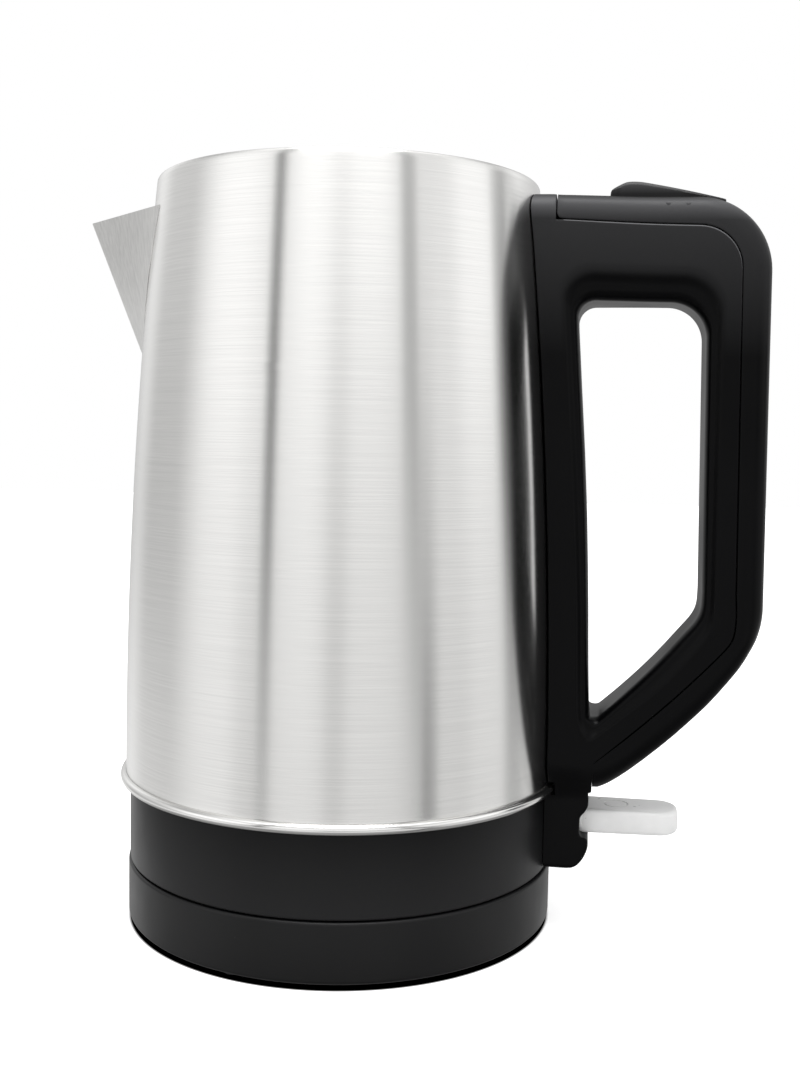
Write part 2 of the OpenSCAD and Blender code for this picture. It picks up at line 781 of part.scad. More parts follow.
module handle_cavity() {
    difference() {
        intersection() {
            slab(2 * root_w) handle_outline(handle_wall);
            handle_plan(handle_wall);
        }
        slab(2 * root_w) handle_hole(handle_wall);
        vessel_room(gap + handle_wall - 0.6);
    }
}

module handle_solid() {
    difference() {
        intersection() {
            slab(2 * root_w) handle_outline(0);
            handle_plan(0);
        }
        slab(2 * root_w) handle_hole(0);
        vessel_room(gap);
        handle_cavity();
    }
}

lever_clear = 0.4;
lever_ear_t = 2.1;
module lever_window() {
    box([lever_end_x - lever_l - 1, -lever_half_w - lever_clear, handle_top - 9],
        [lever_end_x + lever_clear + 0.4, lever_half_w + lever_clear, handle_top + 9]);
}

module handle_body() {
    boss_r = 3;
    arm_half = 3.6;
    ear_y = lever_half_w + gap + lever_ear_t / 2;
    bracket_room = shell_r(bracket_z) + gap + handle_wall - 0.5;
    color(black) at_axis() difference() {
        union() {
            difference() {
                handle_solid();
                slab(2 * root_w) strip_region(0);
            }
            for (side = [-1, 1]) translate([lever_x, side * ear_y, lever_z]) rotate([90, 0, 0])
                cylinder(r = boss_r, h = lever_ear_t, center = true, $fn = 48);
            for (side = [-1, 1]) box([lever_x - 2, side * ear_y - lever_ear_t / 2, hole_top + 1],
                [lever_x + 2, side * ear_y + lever_ear_t / 2, lever_z - 1]);
            for (p = lower_screws) translate([collar_r, p[1], p[0]]) rotate([0, 90, 0])
                intersection() {
                    cylinder(r = screw_r + 1.8, h = 8, $fn = 32);
                    translate([-10, -10, 2.6]) cube(20);
                }
        }
        cross_pin(lever_x, lever_z, pin_r + 0.02, grip_w);
        cross_pin(paddle_x, paddle_z, pin_r + 0.02, 2 * heel_w);
        box([heel_x - 5, -paddle_half_w - 0.8, paddle_z - 5.6], [heel_x + 5, paddle_half_w + 0.8, paddle_z + 4.8]);
        box([collar_r - 5, -arm_half, paddle_z - 2.4], [paddle_x, arm_half, paddle_z + 3.6]);
        box([hinge_x, -slot_half, hinge_z - 11.6], [foot_r + 2, slot_half, hinge_z - 2.9]);
        box([hinge_x, -bracket_half - gap, bracket_z - gap],
            [bracket_room, bracket_half + gap, bracket_z + bracket_h + gap]);
        for (p = lower_screws) translate([0, p[1], p[0]]) rotate([0, 90, 0])
            cylinder(r = screw_r + seat, h = collar_r + 7, $fn = 32);
    }
}

module handle_cover() {
    color(black) at_axis() difference() {
        intersection() {
            handle_solid();
            slab(2 * root_w) strip_region(0.1);
        }
        lever_window();
    }
}

module handle_screws() {
    head_x = collar_r - wall - 1.4 - screw_head_h;
    color(bright) at_axis() for (p = lower_screws) translate([head_x, p[1], p[0]])
        rotate([0, 90, 0]) union() {
            cylinder(r = screw_head_r, h = screw_head_h, $fn = 32);
            cylinder(r = screw_r, h = collar_r + 6 - head_x, $fn = 32);
        }
}

module upper_bracket() {
    high = bracket_z + bracket_h;
    color(bright) at_axis() intersection() {
        rotate_extrude($fn = 160) polygon(concat(
            shell_side(seat, bracket_z, high), back(shell_side(seat + 1.2, bracket_z, high))));
        box([0, -bracket_half, bracket_z], [foot_r + 9, bracket_half, high]);
    }
}

// The duct runs straight from the disc to the handle's top, but bends where the wall would reach it.
function duct_line(off, low_z, high_z) = let (
    top = [shell_r(slider_z) + 7, slider_z - 3.2],
    low = [paddle_x + 2, duct_low_z]
) [for (i = [0 : 12]) let (
    z = low_z + (high_z - low_z) * i / 12,
    k = (z - low[1]) / (top[1] - low[1]),
    straight_x = low[0] + (top[0] - low[0]) * k
) [max(straight_x, shell_r(z) + duct_off) + off, z]];

module steam_duct() {
    half = 2;
    bore = half - 0.8;
    top_z = slider_z - 3.2;
    color(grey) at_axis() difference() {
        slab(14) polygon(concat(
            duct_line(-half, duct_low_z, top_z), back(duct_line(half, duct_low_z, top_z))));
        slab(12.4) polygon(concat(
            duct_line(-bore, duct_low_z - 1, top_z + 1), back(duct_line(bore, duct_low_z - 1, top_z + 1))));
    }
}

// ---- Lid ----

module mouth_ring() {
    top = lid_z - gap;
    ear_y = knuckle_half + gap;
    color(black) at_axis() difference() {
        union() {
            ring(mouth_out_r, mouth_r, mouth_z, top, $fn = 128);
            for (side = [-1, 1]) translate([0, side * (ear_y + ear_t / 2), 0]) union() {
                cross_pin(hinge_x, hinge_z, knuckle_r + 0.2, ear_t);
                box([hinge_x - knuckle_r - 0.2, -ear_t / 2, top - 1],
                    [hinge_x + knuckle_r + 0.2, ear_t / 2, hinge_z]);
            }
        }
        box([hinge_x - 8, -ear_y, mouth_z - 1], [rim_r + 5, ear_y, rim_z]);
        cross_pin(hinge_x, hinge_z, lid_pin_r + 0.02, 4 * ear_t + 3 * knuckle_half);
    }
}

module lid_cover() {
    lug = [catch_x, catch_z];
    along = lug / norm(lug);
    across = [-along[1], along[0]] * 1.2;
    color(black) at_axis() difference() {
        union() {
            post(lid_r, lid_z, lid_z + lid_t - 0.8, $fn = 128);
            post(lid_r - 1.2, lid_z, lid_z + lid_t, $fn = 128);
            ring(plug_in_r, plug_in_r - 2, lid_z - lid_plug_h + 2, lid_z + eps);
            box([lid_r - 5, -knuckle_half, lid_z], [hinge_x, knuckle_half, hinge_z + 1]);
            cross_pin(hinge_x, hinge_z, knuckle_r, 2 * knuckle_half);
            translate([hinge_x, 0, hinge_z]) slab(7) polygon([across, lug + across, lug - across, -across]);
        }
        cross_pin(hinge_x, hinge_z, lid_pin_r + run_fit, 3 * knuckle_half);
    }
}

module lid_liner() {
    z = lid_z - lid_plug_h;
    color(steel) at_axis() union() {
        post(plug_in_r, z, z + 0.8, $fn = 128);
        ring(plug_in_r, plug_in_r - 0.8, z, z + 2 - seat);
    }
}

module lid_seal() {
    z = lid_z - 3.4;
    color(rubber) at_axis() rotate_extrude($fn = 128) polygon([
        [plug_in_r + seat, z - 1.6], [plug_in_r + 1, z - 1.6], [mouth_r - gap, z - 0.6], [mouth_r - gap, z],
        [plug_in_r + 1, z + 0.4], [plug_in_r + 1, z + 1.4], [plug_in_r + seat, z + 1.4]]);
}

module lid_pin() {
    color(bright) at_axis() cross_pin(hinge_x, hinge_z, lid_pin_r, 2 * (knuckle_half + gap + ear_t + 3.6));
}

// A round wire swept along a path; ref is a direction the path never runs along
wire_sides = 6;
module wire(path, r, ref) {
    n = len(path);
    tangents = [for (i = [0 : n - 1]) let (d = path[min(i + 1, n - 1)] - path[max(i - 1, 0)]) d / norm(d)];
    points = [for (i = [0 : n - 1]) let (u = cross(tangents[i], ref), v = cross(tangents[i], u / norm(u)))
        for (j = [0 : wire_sides - 1]) let (a = 360 * j / wire_sides)
            path[i] + r * (cos(a) * u / norm(u) + sin(a) * v)];
    sides = [for (i = [0 : n - 2]) for (j = [0 : wire_sides - 1]) let (k = (j + 1) % wire_sides)
        [i * wire_sides + j, i * wire_sides + k, (i + 1) * wire_sides + k, (i + 1) * wire_sides + j]];
    ends = [[for (j = [wire_sides - 1 : -1 : 0]) j], [for (j = [0 : wire_sides - 1]) (n - 1) * wire_sides + j]];
    polyhedron(points, concat(sides, ends), convexity = 8);
}

coil_steps = 12;
function coil(r, pitch, turns) = [for (i = [0 : coil_steps * turns]) let (a = 360 * i / coil_steps)
    [r * cos(a), pitch * i / coil_steps, r * sin(a)]];

module lid_spring() {
    wire_r = 0.3;
    r = lid_pin_r + wire_r + 0.15;
    y = knuckle_half + gap + ear_t + 0.5;
    turns = 4;
    pitch = 0.7;
    color(bright) at_axis() translate([hinge_x, y, hinge_z])
        wire(concat([[r, 0, -1.7], [r, 0, -0.9]], coil(r, pitch, turns), [[r, turns * pitch, 1.2], [r, turns * pitch, 2.4]]),
            wire_r, [0, 1, 0]);
}

// ---- Latch and release lever ----

module latch_slider() {
    yoke = pin_r + 0.4;
    nose_z = hinge_z + catch_z - 1.3;
    color(grey) at_axis() slab(2 * slider_half) polygon([
        [slider_x, nose_z], [slider_x, nose_z - 2], [slider_x + 2.5, nose_z - 3],
        [slider_x + 2.5, slider_z - 2], [lever_x - yoke - 2.5, slider_z - 2], [lever_x - yoke - 2.5, slider_z - 4],
        [lever_x + yoke + 2.5, slider_z - 4], [lever_x + yoke + 2.5, slider_z + 1.4], [lever_x + yoke, slider_z + 1.4],
        [lever_x + yoke, slider_z - 2.2], [lever_x - yoke, slider_z - 2.2], [lever_x - yoke, slider_z + 1.4],
        [slider_x + 6, slider_z + 1.4], [slider_x + 6, nose_z]]);
}

module latch_spring() {
    wire_r = 0.35;
    x0 = lever_x + pin_r + 0.4 + 2.5 + wire_r + 0.1;
    length = 13.5;
    turns = 7;
    color(bright) at_axis() translate([x0, 0, slider_z]) rotate([0, 0, -90])
        wire(coil(2.6, length / turns, turns), wire_r, [0, 1, 0]);
}

module release_lever() {
    x0 = lever_end_x - lever_l;
    top = handle_top + lever_h;
    rise = 5.5;
    under = handle_top - 4;
    color(black) at_axis() difference() {
        union() {
            slab(2 * lever_half_w) polygon([
                [x0, under], [x0, handle_top + 0.6], [x0 + rise, top - 1], [x0 + rise + 5.5, top - 0.9],
                [lever_end_x, handle_top - 0.9], [lever_end_x, under]]);
            slab(2 * lever_half_w - 5) polygon([
                [x0 + 1, under], [x0 + 1, handle_top + 0.6], [x0 + rise + 0.3, top], [x0 + rise + 5.5, top],
                [lever_end_x, handle_top - 0.8], [lever_end_x, under]]);
            cross_pin(lever_x, lever_z, 3.2, 2 * lever_half_w);
            box([lever_x - pin_r, -2, slider_z], [lever_x + pin_r, 2, lever_z]);
            cross_pin(lever_x, slider_z, pin_r, 4);
        }
        cross_pin(lever_x, lever_z, pin_r + run_fit, 3 * lever_half_w);
    }
}

module lever_pin() {
    color(bright) at_axis() cross_pin(lever_x, lever_z, pin_r, 2 * (lever_half_w + gap + lever_ear_t));
}

base_top_cover();
base_bottom_cover();
base_connector();
base_live_contact();
base_neutral_contact();
base_earth_contact();
rubber_feet();
base_screws();
cord_gland();
connector_ring();
vessel_shell();
spout();
filter_frame();
filter_mesh();
base_trim_ring();
vessel_floor();
element_plate();
heating_element();
lower_collar();
underside_cover();
underside_screws();
control_housing();
control_screws();
bimetal_discs();
earth_pin();
neutral_ring();
live_ring();
steam_switch();
switch_plunger();
steam_disc();
disc_holder();
switch_paddle();
paddle_pin();
indicator_board();
indicator_lamp();
handle_body();
handle_cover();
handle_screws();
upper_bracket();
steam_duct();
mouth_ring();
lid_cover();
lid_liner();
lid_seal();
lid_pin();
lid_spring();
latch_slider();
latch_spring();
release_lever();
lever_pin();
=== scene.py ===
import json
import math

import bmesh
import bpy
import numpy as np
from bpy.props import (
    FloatProperty,
    FloatVectorProperty,
    IntProperty,
    PointerProperty,
)
from bpy.types import Operator, Panel, PropertyGroup
from mathutils import Matrix, Vector


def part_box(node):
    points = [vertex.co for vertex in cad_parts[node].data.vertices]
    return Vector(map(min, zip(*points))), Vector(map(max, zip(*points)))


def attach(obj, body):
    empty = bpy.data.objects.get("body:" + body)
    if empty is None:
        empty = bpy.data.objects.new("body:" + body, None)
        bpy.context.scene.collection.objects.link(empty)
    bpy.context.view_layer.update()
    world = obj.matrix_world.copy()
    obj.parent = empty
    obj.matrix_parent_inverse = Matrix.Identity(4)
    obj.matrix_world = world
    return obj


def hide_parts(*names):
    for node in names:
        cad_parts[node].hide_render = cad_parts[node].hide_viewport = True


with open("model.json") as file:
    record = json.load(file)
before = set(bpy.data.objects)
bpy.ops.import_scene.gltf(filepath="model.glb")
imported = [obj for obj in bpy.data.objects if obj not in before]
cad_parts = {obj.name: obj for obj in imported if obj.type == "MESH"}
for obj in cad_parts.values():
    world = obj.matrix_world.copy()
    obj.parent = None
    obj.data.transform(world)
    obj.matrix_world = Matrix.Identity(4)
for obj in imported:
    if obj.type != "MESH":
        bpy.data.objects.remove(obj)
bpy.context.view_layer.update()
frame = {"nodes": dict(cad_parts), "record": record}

bl_info = {
    "name": "Steel jug kettle",
    "version": (1, 0, 0),
    "blender": (4, 5, 0),
    "location": "View3D > Sidebar > Kettle",
    "description": "Builds the visible pieces of a cordless steel kettle around its CAD frame",
    "category": "Add Mesh",
}

MM = 0.001

# ---- Places from the CAD frame, in millimetres from the vessel's own axis ----

SHELL_LOW, SHELL_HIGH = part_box("vessel_shell")
AXIS_X = (SHELL_LOW.x + SHELL_HIGH.x) / 2 / MM
RIM_Z = SHELL_HIGH.z / MM
FOOT_Z = SHELL_LOW.z / MM
FOOT_R = (SHELL_HIGH.x - SHELL_LOW.x) / 2 / MM
COLLAR_LOW, COLLAR_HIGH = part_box("lower_collar")
COLLAR_R = (COLLAR_HIGH.x - COLLAR_LOW.x) / 2 / MM
BASE_LOW, BASE_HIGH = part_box("base_top_cover")
BASE_R = (BASE_HIGH.x - BASE_LOW.x) / 2 / MM
BASE_Z = BASE_LOW.z / MM
DECK_Z = BASE_HIGH.z / MM
HANDLE_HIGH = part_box("handle_cover")[1]
HANDLE_TOP = HANDLE_HIGH.z / MM
HANDLE_REACH = HANDLE_HIGH.x / MM - AXIS_X
SPOUT_LOW, SPOUT_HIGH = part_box("spout")
SPOUT_TOP = SPOUT_HIGH.z / MM
SPOUT_REACH = AXIS_X - SPOUT_LOW.x / MM

# ---- Sizes that several pieces share, in millimetres ----

# Wall of the collar and of the power base
WALL = 2.2
# Clearance between the handle and what it stands against
SNUG = 0.3
SPOUT_H = 55.0
# The collar's screws: the radius of their circle, and where they stand on it in degrees
SCREW_RING_R, SCREW_ANGLES = 64, (60, 180, 300)
# The pins that the paddle and the lever turn on
PADDLE_X, PADDLE_Z = 79.5, 38.0
LEVER_X, LEVER_Z = 116, 242
# The well in the handle's top, where the lever lies
WELL_X, WELL_HALF_W, WELL_LOW, WELL_HIGH = 86.9, 9.9, 238.5, 252


# ---- Sizes and colours that a user may change ----


class KettleSizes(PropertyGroup):
    """Sizes of the visible pieces, beyond those that the CAD frame fixes."""

    rim_radius: FloatProperty(
        name="Rim radius", description="Outer radius of the vessel at its rim",
        default=0.065, min=0.05, max=0.07, unit="LENGTH")
    sheet: FloatProperty(
        name="Sheet", description="Thickness of the steel sheet",
        default=0.0008, min=0.0004, max=0.0015, unit="LENGTH")
    bead_radius: FloatProperty(
        name="Trim ring", description="Radius of the half-round ring at the vessel's foot",
        default=0.0018, min=0.001, max=0.0025, unit="LENGTH")
    spout_width: FloatProperty(
        name="Spout half width", description="Half the width of the spout where it meets the vessel",
        default=0.036, min=0.025, max=0.04, unit="LENGTH")
    grip_width: FloatProperty(
        name="Grip half width", description="Half the width of the grip",
        default=0.0145, min=0.012, max=0.017, unit="LENGTH")
    root_width: FloatProperty(
        name="Root half width", description="Half the width of the handle against the vessel",
        default=0.02, min=0.016, max=0.021, unit="LENGTH")
    heel_width: FloatProperty(
        name="Heel half width", description="Half the width of the handle's foot at the collar",
        default=0.015, min=0.012, max=0.016, unit="LENGTH")
    step_depth: FloatProperty(
        name="Step depth", description="Depth of the step round the finger gap",
        default=0.0017, min=0.0, max=0.003, unit="LENGTH")
    seam: FloatProperty(
        name="Seam", description="Width of the seam between the handle and its cover strip",
        default=0.0003, min=0.0001, max=0.0008, unit="LENGTH")


class KettleFinishes(PropertyGroup):
    """Colours of the visible finishes."""

    steel: FloatVectorProperty(
        name="Brushed steel", description="Colour of the vessel",
        default=(0.86, 0.855, 0.84), size=3, subtype="COLOR", min=0, max=1)
    spout_steel: FloatVectorProperty(
        name="Spout steel", description="Colour of the spout's satin steel",
        default=(0.82, 0.815, 0.80), size=3, subtype="COLOR", min=0, max=1)
    plastic: FloatVectorProperty(
        name="Black plastic", description="Colour of the collar and the power base",
        default=(0.0030, 0.0030, 0.0034), size=3, subtype="COLOR", min=0, max=1)
    handle: FloatVectorProperty(
        name="Handle plastic", description="Colour of the handle's mouldings",
        default=(0.0012, 0.0012, 0.0015), size=3, subtype="COLOR", min=0, max=1)
    paddle: FloatVectorProperty(
        name="Paddle", description="Colour of the frosted switch paddle",
        default=(0.88, 0.88, 0.875), size=3, subtype="COLOR", min=0, max=1)
    grain: FloatProperty(
        name="Grain", description="Depth of the brushed grain on the vessel",
        default=0.00002, min=0.0, max=0.0002, precision=6, unit="LENGTH")


class KettleStudio(PropertyGroup):
    """The stage that the kettle is shown on."""

    floor_size: FloatProperty(
        name="Floor", description="Length of the floor's side",
        default=6.0, min=1.0, max=20.0, unit="LENGTH")
    light: FloatProperty(
        name="Light", description="Strength of the soft light all round",
        default=1.0, min=0.1, max=3.0)
    around: IntProperty(
        name="Columns", description="Grid columns round each turned piece",
        default=240, min=48, max=400)


# ---- Meshes from arrays ----


class Skin:
    """Collects grids of points, in millimetres from the vessel's own axis, and makes them one welded mesh."""

    def __init__(self):
        self.points, self.faces, self.maps, self.count = [], [], [], 0

    def grid(self, p, uv=None, wrap_rows=False, wrap_cols=False):
        """p[i, j] is the surface's point at row i and column j; neighbours are joined by four-sided faces."""
        n, m = p.shape[:2]
        index = np.arange(n * m).reshape(n, m) + self.count
        if uv is None:
            uv = np.zeros((n, m, 2))
        if wrap_cols:
            index = np.concatenate([index, index[:, :1]], 1)
            uv = np.concatenate([uv, 2 * uv[:, -1:] - uv[:, -2:-1]], 1)
        if wrap_rows:
            index = np.concatenate([index, index[:1]], 0)
            uv = np.concatenate([uv, 2 * uv[-1:] - uv[-2:-1]], 0)
        corners = [(slice(None, -1), slice(None, -1)), (slice(1, None), slice(None, -1)),
                   (slice(1, None), slice(1, None)), (slice(None, -1), slice(1, None))]
        self.faces.append(np.stack([index[c] for c in corners], -1).reshape(-1, 4))
        self.maps.append(np.stack([uv[c] for c in corners], -2).reshape(-1, 4, 2))
        self.points.append(p.reshape(-1, 3))
        self.count += n * m

    def cap(self, loop):
        """Closes a loop of points with triangles that meet at its middle."""
        m = len(loop)
        index = np.arange(m) + self.count
        centre = np.full(m, self.count + m)
        self.faces.append(np.stack([index, np.roll(index, -1), centre, centre], -1))
        self.maps.append(np.zeros((m, 4, 2)))
        self.points.append(np.concatenate([loop, loop.mean(0, keepdims=True)]))
        self.count += m + 1

    def build(self, name, sharp=35.0):
        """Welds equal points, drops faces that have shrunk to nothing, turns all faces outwards."""
        points = np.concatenate(self.points)
        faces = np.concatenate(self.faces)
        maps = np.concatenate(self.maps)
        keys, first, back = np.unique(
            np.round(points * 2000).astype(np.int64), axis=0, return_index=True, return_inverse=True)
        faces = back.reshape(-1)[faces]
        same = faces == np.roll(faces, -1, axis=1)
        kind = same.sum(1)
        quads, tris = kind == 0, kind == 1
        crossed = quads & ((faces[:, 0] == faces[:, 2]) | (faces[:, 1] == faces[:, 3]))
        quads &= ~crossed
        keep = ~same[tris]
        tri_faces = faces[tris][keep].reshape(-1, 3)
        tri_maps = maps[tris][keep].reshape(-1, 3, 2)
        placed = (points[first] + np.array([AXIS_X, 0, 0])) * MM
        mesh = bpy.data.meshes.new(name)
        mesh.from_pydata(placed.tolist(), [], faces[quads].tolist() + tri_faces.tolist())
        layer = mesh.uv_layers.new(name="surface")
        flat = np.concatenate([maps[quads].reshape(-1), tri_maps.reshape(-1)]).astype(np.float32)
        layer.data.foreach_set("uv", flat)
        tidy(mesh)
        smooth(mesh, sharp)
        obj = bpy.data.objects.new(name, mesh)
        bpy.context.scene.collection.objects.link(obj)
        return obj


def tidy(mesh):
    """Points every face of a closed mesh outwards."""
    work = bmesh.new()
    work.from_mesh(mesh)
    bmesh.ops.recalc_face_normals(work, faces=work.faces)
    work.to_mesh(mesh)
    work.free()


def smooth(mesh, sharp):
    """Shades smoothly, but for edges that turn by more than sharp degrees."""
    mesh.polygons.foreach_set("use_smooth", np.ones(len(mesh.polygons), bool))
    mesh.set_sharp_from_angle(angle=math.radians(sharp))
    mesh.update()


def cut(obj, cutters, operation="DIFFERENCE", sharp=35.0):
    """Takes closed tool meshes away from a piece, or adds them to it, and keeps the result as its mesh."""
    for tool in cutters:
        change = obj.modifiers.new("cut", "BOOLEAN")
        change.operation, change.solver, change.object = operation, "EXACT", tool
    bpy.context.view_layer.update()
    shape = bpy.data.meshes.new_from_object(obj.evaluated_get(bpy.context.evaluated_depsgraph_get()))
    obj.modifiers.clear()
    obj.data = shape
    smooth(shape, sharp)
    for tool in cutters:
        bpy.data.objects.remove(tool)


def box_tool(low, high):
    """A closed box, from two corners in millimetres from the vessel's axis."""
    low, high = np.array(low, float), np.array(high, float)
    x = np.array([0, 1, 1, 0]) * (high[0] - low[0]) + low[0]
    y = np.array([0, 0, 1, 1]) * (high[1] - low[1]) + low[1]
    rows = np.stack([np.stack([x, y, np.full(4, z)], -1) for z in (low[2], high[2])])
    skin = Skin()
    skin.grid(rows, wrap_cols=True)
    skin.cap(rows[0])
    skin.cap(rows[1])
    return skin.build("tool")


def rod_tool(start, end, radius, sides=32):
    """A closed rod between two points, a circle carried along a straight line."""
    start, end = np.array(start, float), np.array(end, float)
    along = (end - start) / np.linalg.norm(end - start)
    across = np.cross(along, [0.3, 0.5, 0.81])
    across /= np.linalg.norm(across)
    up = np.cross(along, across)
    a = np.linspace(0, 2 * math.pi, sides, endpoint=False)[:, None]
    ring = radius * (np.cos(a) * across + np.sin(a) * up)
    rows = np.stack([start + ring, end + ring])
    skin = Skin()
    skin.grid(rows, wrap_cols=True)
    skin.cap(rows[0])
    skin.cap(rows[1])
    return skin.build("tool")


def arc(cx, cz, r, a0, a1, n):
    """n points on a circle in the upright plane, from angle a0 to a1 in degrees."""
    a = np.radians(np.linspace(a0, a1, n))
    return np.stack([cx + r * np.cos(a), cz + r * np.sin(a)], -1)


def line(a, b, n):
    """n evenly spaced points from a to b."""
    t = np.linspace(0, 1, n)[:, None]
    return np.array(a, float) * (1 - t) + np.array(b, float) * t


def resample(path, n):
    """n points spaced evenly by length along a path; every column of the path is carried along."""
    path = np.asarray(path, float)
    step = np.linalg.norm(np.diff(path[:, :2], axis=0), axis=1)
    s = np.concatenate([[0], np.cumsum(step)])
    at = np.linspace(0, s[-1], n)
    return np.stack([np.interp(at, s, path[:, k]) for k in range(path.shape[1])], -1)


def rounded(path, times=2):
    """Cuts an open path's corners but keeps its ends: a pass cuts each a quarter of the way."""
    path = np.asarray(path, float)
    for _ in range(times):
        q = 0.75 * path[:-1] + 0.25 * path[1:]
        r = 0.25 * path[:-1] + 0.75 * path[1:]
        middle = np.stack([q, r], 1).reshape(-1, path.shape[1])
        path = np.concatenate([path[:1], middle[1:-1], path[-1:]])
    return path


def ease(x):
    """Goes from 0 to 1 without a corner as x goes from 0 to 1."""
    x = np.clip(x, 0, 1)
    return x * x * (3 - 2 * x)


def turned(name, profile, columns, sharp=35.0, closed=True):
    """Carries a profile of radius and height round the vessel's axis; it is closed or ends on the axis."""
    profile = np.asarray(profile, float)
    a = np.linspace(0, 2 * math.pi, columns, endpoint=False)
    p = np.stack([profile[:, :1] * np.cos(a), profile[:, :1] * np.sin(a),
                  np.repeat(profile[:, 1:2], columns, 1)], -1)
    length = np.concatenate([[0], np.cumsum(np.linalg.norm(np.diff(profile, axis=0), axis=1))])
    uv = np.stack(np.broadcast_arrays(a[None] * profile[:, :1].max() * MM, length[:, None] * MM), -1)
    skin = Skin()
    skin.grid(p, uv, wrap_rows=closed, wrap_cols=True)
    return skin.build(name, sharp)


def fillet(points, radii, n=6):
    """Rounds the corners of a closed outline: each corner becomes an arc that touches both its sides."""
    points = np.asarray(points, float)
    out = []
    for k, r in enumerate(radii):
        p, a, b = points[k], points[k - 1], points[(k + 1) % len(points)]
        if r <= 0:
            out.append(p[None])
            continue
        u, v = (a - p) / np.linalg.norm(a - p), (b - p) / np.linalg.norm(b - p)
        half = math.acos(max(-1, min(1, float(u @ v)))) / 2
        cut_back = r / math.tan(half)
        mid = (u + v) / np.linalg.norm(u + v)
        centre = p + mid * r / math.sin(half)
        s, e = p + u * cut_back - centre, p + v * cut_back - centre
        turn = math.acos(max(-1, min(1, float(s @ e) / r / r)))
        t = np.linspace(0, 1, n)[:, None]
        out.append(centre + (np.sin((1 - t) * turn) * s + np.sin(t * turn) * e) / math.sin(turn))
    return np.concatenate(out)


# ---- Finishes ----


def new_material(name, color, roughness, metallic=0.0, **sockets):
    """A material with its shader's plain numbers set on the shader itself."""
    made = bpy.data.materials.new(name)
    made.use_nodes = True
    shader = made.node_tree.nodes["Principled BSDF"]
    shader.inputs["Base Color"].default_value = (*color, 1)
    shader.inputs["Roughness"].default_value = roughness
    shader.inputs["Metallic"].default_value = metallic
    for key, value in sockets.items():
        shader.inputs[key.replace("_", " ")].default_value = value
    return made, made.node_tree, shader


def node(tree, kind, links=(), **values):
    """A node with its settings, and its inputs by name or number taken from other nodes' outputs."""
    made = tree.nodes.new(kind)
    for key, value in values.items():
        if key.startswith("in_"):
            place = key[3:]
            made.inputs[int(place) if place.isdigit() else place].default_value = value
        else:
            setattr(made, key, value)
    for place, source in dict(links).items():
        tree.links.new(source, made.inputs[place])
    return made


def object_noise(tree, scale, detail=3.0, stretch=(1, 1, 1), source="Object"):
    """Noise that sits still on the object, stretched along its axes."""
    where = node(tree, "ShaderNodeTexCoord")
    mapped = node(tree, "ShaderNodeMapping", {0: where.outputs[source]}, in_Scale=stretch)
    return node(tree, "ShaderNodeTexNoise", {"Vector": mapped.outputs[0]},
                in_Scale=scale, in_Detail=detail).outputs["Fac"]


def ranged(tree, value, low, high, start=0.3, end=0.7):
    """Maps a value from start..end to low..high."""
    return node(tree, "ShaderNodeMapRange", {0: value}, in_1=start, in_2=end, in_3=low, in_4=high).outputs[0]


def tinted(tree, value, dark, light, start=0.3, end=0.7):
    """A colour between two, by a value."""
    ramp = node(tree, "ShaderNodeValToRGB", {0: value})
    ramp.color_ramp.elements[0].position, ramp.color_ramp.elements[1].position = start, end
    ramp.color_ramp.elements[0].color, ramp.color_ramp.elements[1].color = (*dark, 1), (*light, 1)
    return ramp.outputs[0]


def bumped(tree, shader, height, distance, strength=1.0):
    """Puts a height map on a shader's normal."""
    made = node(tree, "ShaderNodeBump", {"Height": height}, in_Strength=strength, in_Distance=distance)
    tree.links.new(made.outputs[0], shader.inputs["Normal"])


def scaled(color, k):
    """A colour made lighter or darker by a factor."""
    return tuple(min(1.0, c * k) for c in color)


def brushed_steel(name, color, grain):
    """Steel brushed round the body: long fine lines, and a gloss that spreads up and down."""
    made, tree, shader = new_material(name, color, 0.25, 1.0, Anisotropic=0.97, Anisotropic_Rotation=0.25)
    tangent = node(tree, "ShaderNodeTangent", direction_type="UV_MAP", uv_map="surface")
    tree.links.new(tangent.outputs[0], shader.inputs["Tangent"])
    hairs = object_noise(tree, 1.0, 3.0, (28, 6200, 1), "UV")
    bands = object_noise(tree, 1.0, 3.0, (6, 900, 1), "UV")
    cloud = object_noise(tree, 14.0, 2.0, (1, 1, 0.45))
    mixed = node(tree, "ShaderNodeMix", {2: hairs, 3: bands}, data_type="FLOAT", in_0=0.12).outputs[0]
    tree.links.new(tinted(tree, mixed, scaled(color, 0.96), scaled(color, 1.04), 0.4, 0.6),
                   shader.inputs["Base Color"])
    tree.links.new(ranged(tree, cloud, 0.235, 0.265), shader.inputs["Roughness"])
    bumped(tree, shader, hairs, grain, 0.18)
    return made


def satin_steel(name, color, roughness=0.38):
    """Steel with a short fine scratch grain and cloudy gloss."""
    made, tree, shader = new_material(name, color, roughness, 1.0)
    fine = object_noise(tree, 900.0, 4.0, (1, 1, 0.2))
    cloud = object_noise(tree, 25.0, 2.0)
    tree.links.new(tinted(tree, fine, scaled(color, 0.9), scaled(color, 1.06)), shader.inputs["Base Color"])
    tree.links.new(ranged(tree, cloud, roughness - 0.05, roughness + 0.05), shader.inputs["Roughness"])
    bumped(tree, shader, fine, 0.00001, 0.3)
    return made


def polished_steel(name, color):
    """Polished trim with faint handling marks in its gloss."""
    made, tree, shader = new_material(name, color, 0.18, 1.0)
    marks = object_noise(tree, 60.0, 5.0, (1, 1, 3))
    tree.links.new(ranged(tree, marks, 0.14, 0.24), shader.inputs["Roughness"])
    tree.links.new(tinted(tree, marks, scaled(color, 0.94), color), shader.inputs["Base Color"])
    return made


